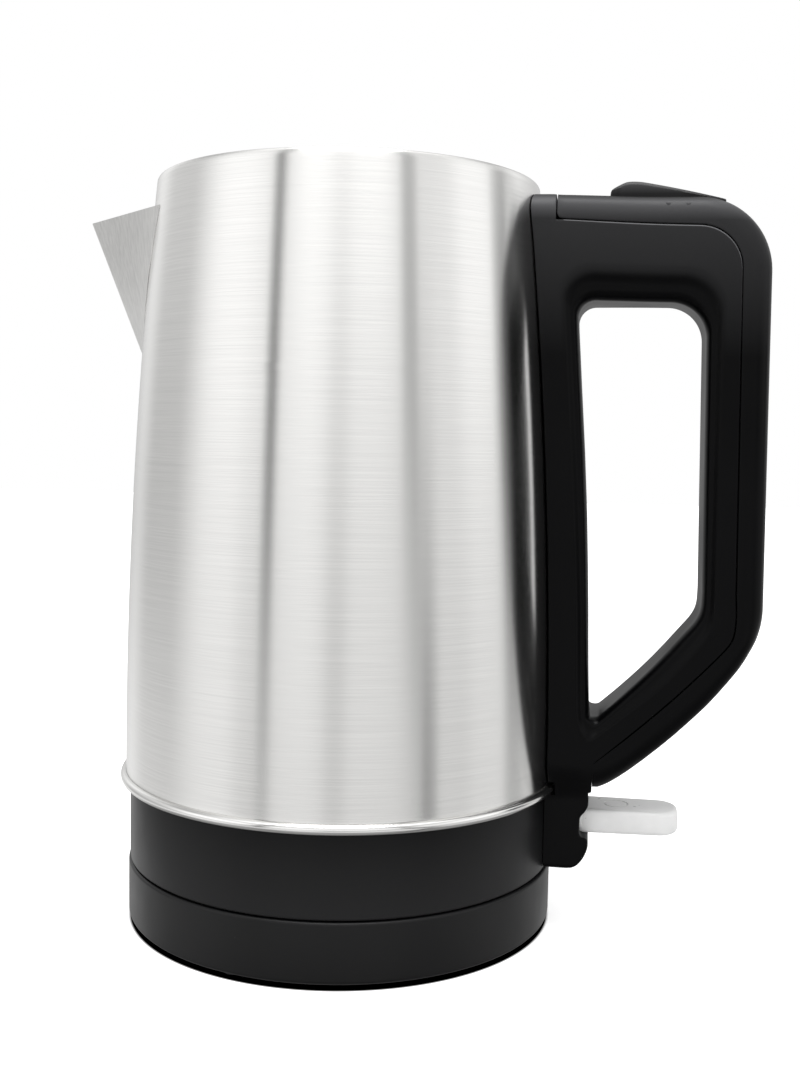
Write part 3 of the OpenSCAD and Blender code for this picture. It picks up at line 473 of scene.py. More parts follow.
# Painted light on the mouldings, which makes them lighter by height in place of real light and shade: the
# heights in metres where that starts and where it is full, and its grey
# the collar: lighter towards the bottom, with painted shade left at its top under the trim ring
COLLAR_PAINTED_LIGHT = ((0.049, 0.022, 0.0135),)
# the handle's top panel: painted light from above, lighter towards the top
PANEL_PAINTED_LIGHT = (0.195, 0.25, 0.030)
# the handle body and the cover: the top panel's painted light, a painted highlight along the rounded top edge,
# and a darker grey that ends that highlight at the very top
BODY_PAINTED_LIGHT = (PANEL_PAINTED_LIGHT, (0.2385, 0.2446, 0.10), (0.2450, 0.2470, 0.016))
COVER_PAINTED_LIGHT = (PANEL_PAINTED_LIGHT, (0.2385, 0.2446, 0.083), (0.2446, 0.2466, 0.010))
# the lever: a painted highlight along its top
LEVER_PAINTED_LIGHT = ((0.2478, 0.252, 0.05),)
# the grey of the painted highlight along the handle body's edge under the cover's seam
SEAM_HIGHLIGHT_GREY = 0.2


def black_plastic(name, color, roughness, level, grain_scale=2600.0, grain=0.00002, painted_light_rows=(), marked=False):
    """Moulded plastic: a fine grain, rubbed patches, dust specks, and painted light: greys laid into the
    colour by height, which stand in for light from above, for painted highlights along top edges and, on the
    collar, for painted shade under the trim ring.

    If marked, the surface map says where a recess keeps its painted shade, without the painted light (across),
    and where a painted highlight runs along the edge by the cover's seam (up).
    """
    made, tree, shader = new_material(name, color, roughness, 0.0, Specular_IOR_Level=level)
    fine = object_noise(tree, grain_scale, 3.0)
    rubbed = object_noise(tree, 38.0, 4.0, (1, 1, 0.7))
    specks = object_noise(tree, 700.0, 1.0)
    dust = node(tree, "ShaderNodeMapRange", {0: specks}, in_1=0.80, in_2=0.86, in_3=0.0, in_4=1.0).outputs[0]
    base = tinted(tree, rubbed, scaled(color, 0.85), scaled(color, 1.2), 0.35, 0.7)
    where = node(tree, "ShaderNodeTexCoord")
    height = node(tree, "ShaderNodeSeparateXYZ", {0: where.outputs["Object"]}).outputs[2]

    def lightened(under, share, grey):
        made = node(tree, "ShaderNodeMix", {0: share, 6: under}, data_type="RGBA")
        made.inputs[7].default_value = (grey, grey, grey * 1.04, 1)
        return made.outputs[2]

    # each row of painted light: its share by height, where its grey is laid into the colour
    shares = [ranged(tree, height, 0.0, 1.0, low, high) for low, high, grey in painted_light_rows]
    if marked:
        marks = node(tree, "ShaderNodeSeparateXYZ", {0: where.outputs["UV"]})
        share = shares[0]
        # the recess keeps out the top panel's painted light, so it stays dark as painted shade
        kept = node(tree, "ShaderNodeMapRange", {0: marks.outputs[0]}, in_3=1.0, in_4=0.0).outputs[0]
        shares[0] = node(tree, "ShaderNodeMath", {0: share, 1: kept}, operation="MULTIPLY").outputs[0]
    for share, (low, high, grey) in zip(shares, painted_light_rows):
        base = lightened(base, share, grey)
    if marked:
        # a painted highlight along the edge under the cover's seam, as strong as the top panel's painted light
        # there
        edge = marks.outputs[1]
        seam_highlight = node(tree, "ShaderNodeMath", {0: shares[0], 1: edge}, operation="MULTIPLY").outputs[0]
        base = lightened(base, seam_highlight, SEAM_HIGHLIGHT_GREY)
    mixed = node(tree, "ShaderNodeMix", {0: dust, 6: base}, data_type="RGBA")
    mixed.inputs[7].default_value = (*scaled(color, 5), 1)
    tree.links.new(mixed.outputs[2], shader.inputs["Base Color"])
    tree.links.new(ranged(tree, rubbed, roughness - 0.05, roughness + 0.07), shader.inputs["Roughness"])
    bumped(tree, shader, fine, grain, 0.4)
    return made


def rubber(name, color):
    """Matte rubber with a chalky bloom."""
    made, tree, shader = new_material(name, color, 0.75, 0.0, Specular_IOR_Level=0.25)
    bloom = object_noise(tree, 120.0, 4.0)
    tree.links.new(tinted(tree, bloom, scaled(color, 0.8), scaled(color, 1.5)), shader.inputs["Base Color"])
    tree.links.new(ranged(tree, bloom, 0.68, 0.82), shader.inputs["Roughness"])
    bumped(tree, shader, object_noise(tree, 1500.0), 0.00003, 0.4)
    return made


def frosted(name, color):
    """Clear plastic, frosted inside: light passes through it softly, its skin is smooth."""
    made, tree, shader = new_material(
        name, color, 0.32, 0.0, Transmission_Weight=0.15, IOR=1.46,
        Coat_Weight=0.35, Coat_Roughness=0.08)
    cloud = object_noise(tree, 160.0, 3.0)
    tree.links.new(ranged(tree, cloud, 0.27, 0.38), shader.inputs["Roughness"])
    tree.links.new(tinted(tree, cloud, scaled(color, 0.96), scaled(color, 1.03)), shader.inputs["Base Color"])
    bumped(tree, shader, cloud, 0.00006, 0.3)
    return made


def plain_moulding(name, color, roughness=0.5, metallic=0.0, scale=300.0):
    """A pressed or moulded inner piece: faint mottling in its colour and gloss."""
    made, tree, shader = new_material(name, color, roughness, metallic)
    mottle = object_noise(tree, scale, 4.0)
    tree.links.new(tinted(tree, mottle, scaled(color, 0.88), scaled(color, 1.08)), shader.inputs["Base Color"])
    tree.links.new(ranged(tree, mottle, roughness - 0.06, roughness + 0.06), shader.inputs["Roughness"])
    bumped(tree, shader, mottle, 0.00002, 0.25)
    return made


FINISH = {}


def finish(obj, material, slot, body, *nodes):
    """Gives a new piece its finish, the body it rides on and the CAD nodes that it stands for, which it hides;
    slot is not used.
    """
    obj.data.materials.clear()
    obj.data.materials.append(FINISH[material])
    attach(obj, body)
    if nodes:
        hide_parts(*nodes)
    return obj


class KETTLE_OT_finishes(Operator):
    """Makes every finish: steels, polished trim, black mouldings, rubber and the frosted paddle"""

    bl_idname = "kettle.finishes"
    bl_label = "Make the finishes"

    def execute(self, context):
        f = context.scene.kettle_finishes
        black, handle = tuple(f.plastic), tuple(f.handle)
        # the handle's grain: how many grains to a metre, and how deep
        grain = (2200.0, 0.00003)
        FINISH.update({
            "brushed": brushed_steel("brushed_steel", tuple(f.steel), f.grain),
            "spout": satin_steel("satin_spout_steel", tuple(f.spout_steel), 0.36),
            "plain": satin_steel("plain_steel", (0.6, 0.6, 0.6), 0.34),
            "mesh": satin_steel("mesh_steel", (0.6, 0.6, 0.6), 0.3),
            "polished": polished_steel("polished_trim", (0.86, 0.855, 0.84)),
            "plastic": black_plastic("black_base_plastic", black, 0.40, 0.28),
            "collar": black_plastic("black_collar_plastic", black, 0.38, 0.17, painted_light_rows=COLLAR_PAINTED_LIGHT),
            "handle": black_plastic("black_handle_plastic", handle, 0.34, 0.09, *grain, BODY_PAINTED_LIGHT, True),
            "cover": black_plastic("black_cover_plastic", handle, 0.34, 0.09, *grain, COVER_PAINTED_LIGHT),
            "lever": black_plastic("black_lever_plastic", handle, 0.30, 0.22, *grain, LEVER_PAINTED_LIGHT),
            "inner": black_plastic("inner_black_plastic", (0.016, 0.016, 0.018), 0.5, 0.3),
            "lid": black_plastic("lid_plastic", (0.012, 0.012, 0.0135), 0.4, 0.3),
            "rubber": rubber("soft_rubber", (0.03, 0.03, 0.032)),
            "frosted": frosted("frosted_paddle", tuple(f.paddle)),
            "aluminium": plain_moulding("pressed_aluminium", (0.7, 0.7, 0.7), 0.4, 1.0),
            "zinc": plain_moulding("zinc_plated", (0.66, 0.66, 0.64), 0.3, 1.0, 500.0),
            "brass": plain_moulding("contact_brass", (0.72, 0.53, 0.23), 0.28, 1.0, 400.0),
            "grey": plain_moulding("grey_moulding", (0.09, 0.09, 0.095), 0.5),
            "cream": plain_moulding("cream_moulding", (0.7, 0.66, 0.55), 0.55),
            "board": plain_moulding("board_green", (0.04, 0.15, 0.08), 0.3),
            "lamp": plain_moulding("lamp_clear", (0.8, 0.88, 0.95), 0.12),
        })
        return {"FINISHED"}


# ---- Vessel ----


def shell_radius(z, rim_r):
    """The vessel's side is a shallow parabola: its radius falls with the square of the height."""
    share = np.clip((np.asarray(z, float) - FOOT_Z) / (RIM_Z - FOOT_Z), 0, 1)
    return FOOT_R - (FOOT_R - rim_r) * share ** 2


class KETTLE_OT_vessel(Operator):
    """Builds the brushed steel vessel with its rolled rim and the opening behind the spout"""

    bl_idname = "kettle.vessel"
    bl_label = "Build the vessel"

    def execute(self, context):
        sizes, n = context.scene.kettle_sizes, context.scene.kettle_studio.around
        rim_r, t = sizes.rim_radius / MM, sizes.sheet / MM
        # the opening lies this far inside the spout's outline
        inset = 2
        low, high = SPOUT_TOP - SPOUT_H + inset, SPOUT_TOP - inset
        z = np.concatenate([np.linspace(FOOT_Z, low, 46), np.linspace(low, high, 34)[1:]])
        share = np.clip((z - low) / (high - low), 0, 1)
        half = np.clip(sizes.spout_width / MM * np.sqrt(share) - inset, 0.0, None)
        open_angle = np.where(z > low, np.arcsin(half / shell_radius(z, rim_r)), 0)
        u = np.linspace(0, 1, n)

        def patch(radius, height, angles):
            p = np.stack(np.broadcast_arrays(-radius * np.cos(angles), radius * np.sin(angles), height), -1)
            uv = np.stack(np.broadcast_arrays(angles * FOOT_R * MM, height * MM), -1)
            return p, uv

        # the side up to the opening's top, outside and inside, closed along the opening and at the foot
        angle = open_angle[:, None] + u * (2 * math.pi - 2 * open_angle[:, None])
        skin = Skin()
        outer, outer_uv = patch(shell_radius(z, rim_r)[:, None], z[:, None], angle)
        inner, inner_uv = patch(shell_radius(z, rim_r)[:, None] - t, z[:, None], angle)
        skin.grid(outer, outer_uv)
        skin.grid(inner[::-1], inner_uv[::-1])
        first = int(np.argmax(z > low)) - 1
        for side in (0, -1):
            skin.grid(np.stack([outer[first:, side], inner[first:, side]], 1),
                      np.stack([outer_uv[first:, side], inner_uv[first:, side]], 1))
        skin.grid(np.stack([outer[0], inner[0]], 0), np.stack([outer_uv[0], inner_uv[0]], 0))
        # the band above the opening, with the rolled rim, and the opening's top edge
        over = np.linspace(2 * math.pi - open_angle[-1], 2 * math.pi + open_angle[-1], 30)[1:-1]
        all_round = np.concatenate([angle[-1], over])
        curl = 0.9
        rise = np.linspace(high, RIM_Z - curl, 10)
        profile = np.concatenate([
            np.stack([shell_radius(rise, rim_r), rise], -1),
            arc(rim_r - curl, RIM_Z - curl, curl, 0, 215, 16)[1:],
            np.stack([shell_radius(rise, rim_r) - t, rise], -1)[::-1][1:]])
        band, band_uv = patch(profile[:, :1], profile[:, 1:], all_round[None])
        skin.grid(band, band_uv, wrap_cols=True)
        bridge = np.concatenate([angle[-1][-1:], over, angle[-1][:1] + 2 * math.pi])
        edge = [patch(np.array([[r]]), np.array([[high]]), bridge[None])
                for r in (shell_radius(high, rim_r), shell_radius(high, rim_r) - t)]
        skin.grid(np.concatenate([e[0] for e in edge]), np.concatenate([e[1] for e in edge]))
        obj = skin.build("steel_vessel")
        finish(obj, "brushed", "brushed_body", "kettle", "vessel_shell")
        return {"FINISHED"}


class KETTLE_OT_trim_ring(Operator):
    """Builds the polished half-round ring at the vessel's foot"""

    bl_idname = "kettle.trim_ring"
    bl_label = "Build the trim ring"

    def execute(self, context):
        r, n = context.scene.kettle_sizes.bead_radius / MM, context.scene.kettle_studio.around
        z = sum(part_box("base_trim_ring"), Vector()).z / 2 / MM
        off_vessel, spare = 0.08, 0.05
        x = FOOT_R + off_vessel
        flat = line((x, z + r - spare), (x, z - r + spare), 5)
        ring = np.concatenate([arc(x, z, r - spare, -90, 90, 18), flat[1:-1]])
        obj = turned("trim_ring", ring, n)
        finish(obj, "polished", "polished_trim", "kettle", "base_trim_ring")
        return {"FINISHED"}


class KETTLE_OT_spout(Operator):
    """Builds the V spout: a sheet folded round its front edge, open at the top"""

    bl_idname = "kettle.spout"
    bl_label = "Build the spout"

    def execute(self, context):
        sizes = context.scene.kettle_sizes
        rim_r, full_w = sizes.rim_radius / MM, sizes.spout_width / MM
        low, rows, gap, thickness = SPOUT_TOP - SPOUT_H, 70, 0.12, 0.9
        share = np.linspace(0.02, 1, rows) ** 1.3
        z = low + SPOUT_H * share
        foot_x = float(shell_radius(low, rim_r))

        def sheet(t):
            """Each level is a straight side, a round nose and the other side, t inside the outline."""
            w = np.maximum(0.35, full_w * np.sqrt(share) - t)
            wall = shell_radius(z, rim_r) + gap
            edge = np.sqrt(wall ** 2 - w ** 2)
            front = np.maximum(edge + 0.5, foot_x + (SPOUT_REACH - foot_x) * share - t)
            slope = np.arctan(w / (front - edge))
            nose = np.minimum(3.4 - 1.2 * share - t * 0.6, 0.35 * w)
            turn = np.linspace(-1, 1, 17)
            a = turn * (math.pi / 2 - slope[:, None])
            bend_x = front[:, None] - nose[:, None] * (1 - np.cos(a))
            bend_y = nose[:, None] * np.sin(a)
            k = np.linspace(0, 1, 14)[:-1]
            side_x = edge[:, None] + (bend_x[:, :1] - edge[:, None]) * k
            side_y = -w[:, None] + (bend_y[:, :1] + w[:, None]) * k
            x = np.concatenate([side_x, bend_x, side_x[:, ::-1]], 1)
            y = np.concatenate([side_y, bend_y, -side_y[:, ::-1]], 1)
            return np.stack([-x, y, z[:, None] + 0 * x], -1)

        outer, inner = sheet(0.0), sheet(thickness)
        across = np.cumsum(np.linalg.norm(np.diff(outer, axis=1, prepend=outer[:, :1]), axis=-1), axis=1)
        uv = np.stack([across * MM, outer[..., 2] * MM], -1)
        skin = Skin()
        skin.grid(outer, uv)
        skin.grid(inner[::-1], uv[::-1])
        for pair in ((outer[0], inner[0]), (outer[-1], inner[-1])):
            skin.grid(np.stack(pair, 0))
        for side in (0, -1):
            skin.grid(np.stack([outer[:, side], inner[:, side]], 1))
        obj = skin.build("spout_sheet", 30)
        finish(obj, "spout", "spout_steel", "kettle", "spout")
        return {"FINISHED"}


# ---- Collar and power base ----


class KETTLE_OT_collar(Operator):
    """Builds the moulded collar under the vessel, with the screw holes in its flange"""

    bl_idname = "kettle.collar"
    bl_label = "Build the collar"

    def execute(self, context):
        n = context.scene.kettle_studio.around
        z0, z1 = COLLAR_LOW.z / MM, COLLAR_HIGH.z / MM
        flange_r, lip, hole_r = 60.0, 1.5, 1.9
        corners = [(flange_r, z0), (COLLAR_R, z0), (COLLAR_R, z1), (COLLAR_R - WALL - lip, z1),
                   (COLLAR_R - WALL - lip, z1 - WALL), (COLLAR_R - WALL, z1 - WALL),
                   (COLLAR_R - WALL, z0 + WALL), (flange_r, z0 + WALL)]
        obj = turned("collar", fillet(corners, [0.4, 0.9, 0.5, 0.3, 0.3, 0.3, 0.5, 0.4]), n)
        holes = []
        for a in np.radians(SCREW_ANGLES):
            x, y = SCREW_RING_R * math.cos(a), SCREW_RING_R * math.sin(a)
            holes.append(rod_tool((x, y, z0 - 1), (x, y, z0 + 4), hole_r))
        cut(obj, holes)
        finish(obj, "collar", "satin_black", "kettle", "lower_collar")
        return {"FINISHED"}


class KETTLE_OT_power_base(Operator):
    """Builds the power base's top cover with its dish and cord outlet, and the connector with its grooves"""

    bl_idname = "kettle.power_base"
    bl_label = "Build the power base"

    def execute(self, context):
        n = context.scene.kettle_studio.around
        dish_r, dish_z, hole_r = 58.5, DECK_Z - 4.5, 16.0
        outlet_half_w, outlet_top = 4.2, 10.2
        corners = [(BASE_R - WALL, BASE_Z), (BASE_R, BASE_Z), (BASE_R, DECK_Z), (dish_r, DECK_Z),
                   (dish_r, dish_z), (hole_r, dish_z), (hole_r, dish_z - WALL), (dish_r + WALL, dish_z - WALL),
                   (dish_r + WALL, DECK_Z - WALL), (BASE_R - WALL, DECK_Z - WALL)]
        obj = turned("base_cover", fillet(corners, [0, 1.6, 1.1, 0.9, 1.0, 0.4, 0.2, 0.8, 0.6, 0.6]), n)
        outlet = box_tool((-outlet_half_w, BASE_R - 5, BASE_Z - 2), (outlet_half_w, BASE_R + 3, outlet_top))
        cut(obj, [outlet])
        finish(obj, "plastic", "satin_black", "power_base", "base_top_cover")

        plug_r, top, root = 15.8, 28.5, 12.1
        groove, socket_r, groove_radii = dish_z - 0.7, 3.7, (7.4, 11.4)
        flange_r, flange_top = plug_r + 3.2, dish_z - WALL - 0.05
        profile = [(0.0, groove), (socket_r, groove), (socket_r, top - 0.5), (socket_r + 0.5, top)]
        for r in groove_radii:
            profile += [(r - 1.35, top), (r - 1, top - 0.35), (r - 1, groove), (r + 1, groove),
                        (r + 1, top - 0.35), (r + 1.35, top)]
        profile += [(plug_r - 1, top)] + arc(plug_r - 1, top - 1, 1, 80, 0, 6).tolist()
        profile += [(plug_r, flange_top), (flange_r, flange_top), (flange_r, root), (0.0, root)]
        obj = turned("connector", profile, 128, closed=False)
        finish(obj, "grey", "connector_grey", "power_base", "base_connector")
        return {"FINISHED"}


# ---- Handle ----

# The seam's corner and the crest's, in the upright plane, and the height where both start to bend inwards
SEAM_R, CORNER_X, CORNER_R = 13.9, HANDLE_REACH - 26, 25.0
SEAM_Z = HANDLE_TOP - 10.5
BEND_Z = 112.4
SEAM_BEND = ((132.9, 118.0), (133.4, 109.0), (132.6, 102.8), (130.2, 99.6))
SEAM_LOW = ((130.2, 99.6), (127.6, 96.6), (121.5, 90.0), (112.1, 80.4), (101.1, 70.3), (88.35, 59.5))


def panel_half(x, z, sizes):
    """Half the handle's width: widest against the vessel, easing to the grip, and narrower at the heel."""
    grip, root, heel = sizes.grip_width / MM, sizes.root_width / MM, sizes.heel_width / MM
    w = grip + (root - grip) * (1 - ease((x - 64) / 49)) ** 1.3
    return heel + (w - heel) * ease((z - 46) / 14)


def gap_stations():
    """The finger gap's outline, and the outline of the step round it, in eight stretches."""
    gap = [
        line((85.2, 213.2), (109.0, 212.9), 26),
        arc(109.0, 201.0, 11.9, 90, 0, 24),
        line((120.9, 201.0), (122.6, 118.0), 40),
        rounded([(122.6, 118.0), (122.5, 111.8), (120.8, 108.0), (117.6, 104.2)], 3),
        rounded([(117.6, 104.2), (109.9, 94.9), (103.2, 87.6), (95.7, 80.1), (90.9, 75.6)], 1),
        rounded([(90.9, 75.6), (90.0, 74.8), (88.0, 74.6), (86.7, 75.1), (86.7, 77.0)], 2),
        rounded([(86.7, 77.0), (86.1, 92.0), (85.4, 115.0), (83.8, 150.0), (79.7, 204.0), (79.5, 207.5)], 1),
        arc(85.2, 207.5, 5.7, 180, 90, 48),
    ]
    step = [
        line((84.2, 223.2), (112.5, 222.6), 26),
        arc(112.5, 209.1, 13.5, 90, 0, 24),
        line((126.0, 209.1), (126.9, 118.0), 40),
        rounded([(126.9, 118.0), (126.9, 110.0), (125.6, 104.6), (121.9, 99.2)], 3),
        rounded([(121.9, 99.2), (114.8, 90.2), (108.0, 83.2), (101.1, 77.6), (96.0, 73.4), (91.2, 69.6)], 1),
        rounded([(91.2, 69.6), (88.2, 67.2), (85.9, 66.6), (83.9, 68.9), (82.7, 73.0), (82.0, 79.0)], 3),
        rounded([(82.0, 79.0), (80.9, 120.0), (76.7, 177.0), (73.9, 212.9)], 1),
        arc(84.2, 212.9, 10.3, 180, 90, 48),
    ]
    counts = [26, 24, 40, 18, 44, 110, 60, 48]
    return [[resample(c, n) for c, n in zip(outline, counts)] for outline in (gap, step)]


def body_edge_stations(counts, rim_r):
    """The body's outer edge in the same stretches: x, height, how far it follows the wall, edge radius."""
    seam, lip = 0.35, 0.75

    def wall(z):
        return float(shell_radius(z, rim_r)) + SNUG

    def flat(points, edge=seam):
        return np.concatenate([points, np.zeros((len(points), 1)), np.full((len(points), 1), edge)], 1)

    foot = flat(rounded([
        (88.35, 59.5), (88.35, 56.0), (88.35, 52.2), (87.4, 51.2), (82.0, 51.2), (77.9, 51.3)], 1))
    side = [(77.9, 51.4, 1, 0.4), (77.75, 52.7, 1, 0.4), (wall(52.9), 52.9, 1, 0.5), (wall(70), 70, 1, 0.8)]
    column = np.array([(wall(z), z, 1, 0.8) for z in np.linspace(70, 236, 40)])
    root = [(wall(236), 236, 1, 0.8), (wall(237.5), 237.5, 1, 0.5), (wall(238.2), 238.2, 1, seam),
            (66.5, 238.25, 0.5, seam), (69.0, 238.25, 0, lip), (73.6, 238.25, 0, lip)]
    stretches = [
        flat(line((73.6, 238.25), (CORNER_X, SEAM_Z), 8), lip),
        flat(arc(CORNER_X, SEAM_Z - SEAM_R, SEAM_R, 90, 0, 20), lip),
        flat(line((CORNER_X + SEAM_R, SEAM_Z - SEAM_R), (132.9, 118.0), 8)),
        flat(rounded(SEAM_BEND, 3)),
        flat(rounded(SEAM_LOW, 1)),
        np.concatenate([foot, np.array(side, float)]), column, np.array(root, float)]
    return [resample(s, c) for s, c in zip(stretches, counts)]


def step_profile(n_round=14, n_step=16):
    """Distance from the gap as a share of the step's reach, and the drop below the panel in two parts."""
    a = np.linspace(0, math.pi / 2, n_round)
    rise = np.linspace(0, 1, n_step + 1)[1:]
    share = np.concatenate([0.42 * (1 - np.cos(a)), 0.42 + 0.58 * rise])
    edge = np.concatenate([1 - np.sin(a), np.zeros(n_step)])
    step = np.concatenate([np.ones(n_round), 1 - ease(rise)])
    return share, edge, step


class KETTLE_OT_handle(Operator):
    """Builds the loop handle: a body round the finger gap with its heel, and the crowned cover strip"""

    bl_idname = "kettle.handle"
    bl_label = "Build the handle"

    def execute(self, context):
        sizes = context.scene.kettle_sizes
        rim_r = sizes.rim_radius / MM
        gap_points, step_points = gap_stations()
        counts = [len(p) for p in gap_points]
        edge_points = body_edge_stations(counts, rim_r)
        outlines = (gap_points, step_points, edge_points)
        inner, middle, outer = (np.concatenate([p[:-1] for p in stretches]) for stretches in outlines)
        x_out, z_out, follow, edge_r = outer.T
        half_out = panel_half(x_out, z_out, sizes)

        def on_wall(y):
            """The edge's x at a distance y from the middle: it follows the round wall as far as it should."""
            return x_out[:, None] - follow[:, None] * (x_out[:, None] - np.sqrt(x_out[:, None] ** 2 - y ** 2))

        # each station runs from the gap over the step, across the flat panel and round the outer edge
        end = np.stack([on_wall(half_out[:, None])[:, 0], z_out], -1)
        share, edge_drop, step_drop = step_profile()
        at_step = inner[:, None] + (middle - inner)[:, None] * share[:, None]
        along = end - middle
        length = np.linalg.norm(along, axis=1)[:, None]
        edge_r = np.minimum(edge_r[:, None], 0.45 * length)
        n_panel, n_edge, gap_round = 16, 6, 4.6
        t = np.linspace(0, 1, n_panel + 1)[1:]
        a = np.linspace(0, math.pi / 2, n_edge + 1)[1:]
        d = np.concatenate([(length - edge_r) * t, length - edge_r * (1 - np.sin(a))], 1)
        at_panel = middle[:, None] + (along / length)[:, None] * d[..., None]
        at = np.concatenate([at_step, at_panel], 1)
        drop = np.concatenate([
            gap_round * edge_drop + sizes.step_depth / MM * step_drop + 0 * at_step[..., 0],
            0 * length * t, edge_r * (1 - np.cos(a)) * (1 + 0.12 * ease((edge_r - 3) / 3))], 1)
        half = panel_half(at[..., 0], at[..., 1], sizes) - drop
        near = np.stack([at[..., 0], -half, at[..., 1]], -1)
        # the far side mirrors the near one; the back and the gap's inside join them
        across = np.linspace(-1, 1, 13)[1:-1]
        y_back = across * half[:, -1:]
        back = np.stack([on_wall(y_back), y_back, z_out[:, None] + 0 * y_back], -1)
        y_front = -across[::2] * half[:, :1] * 0.999
        front = np.stack([inner[:, :1] + 0 * y_front, y_front, inner[:, 1:] + 0 * y_front], -1)
        far = near[:, ::-1] * np.array([1, -1, 1])
        rings = np.concatenate([near, back, far, front], 1)
        # the surface map marks the recess, where the painted light is held back to leave painted shade, and,
        # along the cover's seam, a painted highlight on the body's edge
        in_step = 1 - 0.7 * ease((share - 0.7) / 0.3) + 0 * at_step[..., 0]
        recess_shade = np.concatenate([in_step, 0.3 * (1 - ease(d / 2.5))], 1)
        seam_highlight_mask = np.zeros(near.shape[:2])
        seam_highlight_mask[:sum(counts[:5]), 1 - n_edge:] = 1
        marks = np.stack([recess_shade, seam_highlight_mask], -1)
        no_back, no_front = np.zeros((*back.shape[:2], 2)), np.zeros((*front.shape[:2], 2))
        marks = np.concatenate([marks, no_back, marks[:, ::-1], no_front], 1)
        skin = Skin()
        skin.grid(rings, marks, wrap_rows=True, wrap_cols=True)
        body = skin.build("handle_moulding", 40)
        cut(body, [self.heel(sizes, rim_r), self.root_block(sizes, rim_r)], "UNION", 40)
        paddle_slot = box_tool((76.6, -9.8, 32.2), (92, 9.8, 43.4))
        tail_slot = box_tool((70, -3.4, PADDLE_Z - 2.4), (78, 3.4, PADDLE_Z + 3.6))
        latch_slot = box_tool((58, -5.5, 236), (77.5, 5.5, 244.7))
        lever_well = box_tool((WELL_X, -WELL_HALF_W, WELL_LOW), (127, WELL_HALF_W, WELL_HIGH))
        cut(body, [paddle_slot, tail_slot, latch_slot, lever_well], sharp=40)
        finish(body, "handle", "handle_black", "kettle", "handle_body")
        self.cover(sizes)
        return {"FINISHED"}

    def heel(self, sizes, rim_r):
        """The heel in level slices: a waist and a lug in front, its back shaped to what it stands against."""
        low_z, low_round = 22.5, 1.8
        front = rounded([
            (80.8, low_z), (83.6, 23.2), (86.2, 26.2), (87.7, 30.0), (87.7, 32.6), (86.9, 33.7), (85.2, 33.9),
            (84.7, 35.0), (84.7, 39.4), (84.9, 40.8), (86.3, 42.4), (87.4, 44.2), (87.5, 46.0), (87.4, 48.2),
            (87.2, 48.8), (87.3, 49.3), (88.35, 49.5), (88.35, 51.0), (88.35, 58.0)], 1)
        z = np.unique(np.concatenate([resample(front, 84)[:, 1], [47.95, 48.05, 52.7, 52.85]]))[:, None]
        x_front = np.interp(z, front[:, 1], front[:, 0])
        on_shell = [shell_radius(h, rim_r) + SNUG for h in (52.85, 58.0)]
        back = np.interp(z, [47.95, 48.05, 52.7, 52.85, 58.0], [COLLAR_R + SNUG, 77.75, 77.75, *on_shell])
        corner = np.interp(z, [46.0, 50.0], [1.0, 0.4])
        under = low_round - np.sqrt(low_round ** 2 - np.clip(low_z + low_round - z, 0, low_round) ** 2)
        spare = 0.02 - 0.3 * ease((z - 52) / 6) - under
        return self.slices("heel", sizes, z, x_front, back, spare, corner)

    def root_block(self, sizes, rim_r):
        """The block between the vessel and the cover strip, in level slices that draw in towards its top."""
        top, round_h, round_w = HANDLE_TOP - 0.2, 6.6, 7.4
        a = np.linspace(0, math.pi / 2, 16)[:, None]
        straight = np.linspace(232, top - round_h, 12)[:-1, None]
        z = np.concatenate([straight, top - round_h + round_h * np.sin(a)])
        over = np.concatenate([0 * straight, round_w * (1 - np.cos(a))])
        spare = 0.02 - 0.3 * ease((237.5 - z) / 5) - over
        x_front = 71.3 - 0.4 * ease((z - top + 0.5) / 0.5)
        back = shell_radius(z, rim_r) + SNUG
        return self.slices("root_block", sizes, z, x_front, back, spare, 0.35 + 0 * z)

    def slices(self, name, sizes, z, x_front, back, spare, corner):
        """A closed piece in level slices; spare is how far its sides stand outside the handle's panel."""
        def half_at(x):
            return panel_half(x, z, sizes) + spare

        x_back = np.sqrt(back ** 2 - half_at(back) ** 2)
        x_side = x_back + (x_front - corner - x_back) * np.linspace(0, 1, 12)
        a = np.linspace(-math.pi / 2, 0, 7)[1:]
        x_turn = x_front - corner + corner * np.cos(a)
        y_turn = -half_at(x_front) + corner + corner * np.sin(a)
        near_x, near_y = np.concatenate([x_side, x_turn], 1), np.concatenate([-half_at(x_side), y_turn], 1)
        y_front = y_turn[:, -1:] * -np.linspace(-1, 1, 7)[1:-1]
        y_back = half_at(x_back) * np.linspace(1, -1, 15)[1:-1]
        x_round = np.sqrt(back ** 2 - y_back ** 2)
        x = np.concatenate([near_x, x_front + 0 * y_front, near_x[:, ::-1], x_round], 1)
        y = np.concatenate([near_y, -y_front, -near_y[:, ::-1], y_back], 1)
        rows = np.stack([x, y, z + 0 * x], -1)
        skin = Skin()
        skin.grid(rows, wrap_cols=True)
        skin.cap(rows[0])
        skin.cap(rows[-1])
        return skin.build(name, 40)

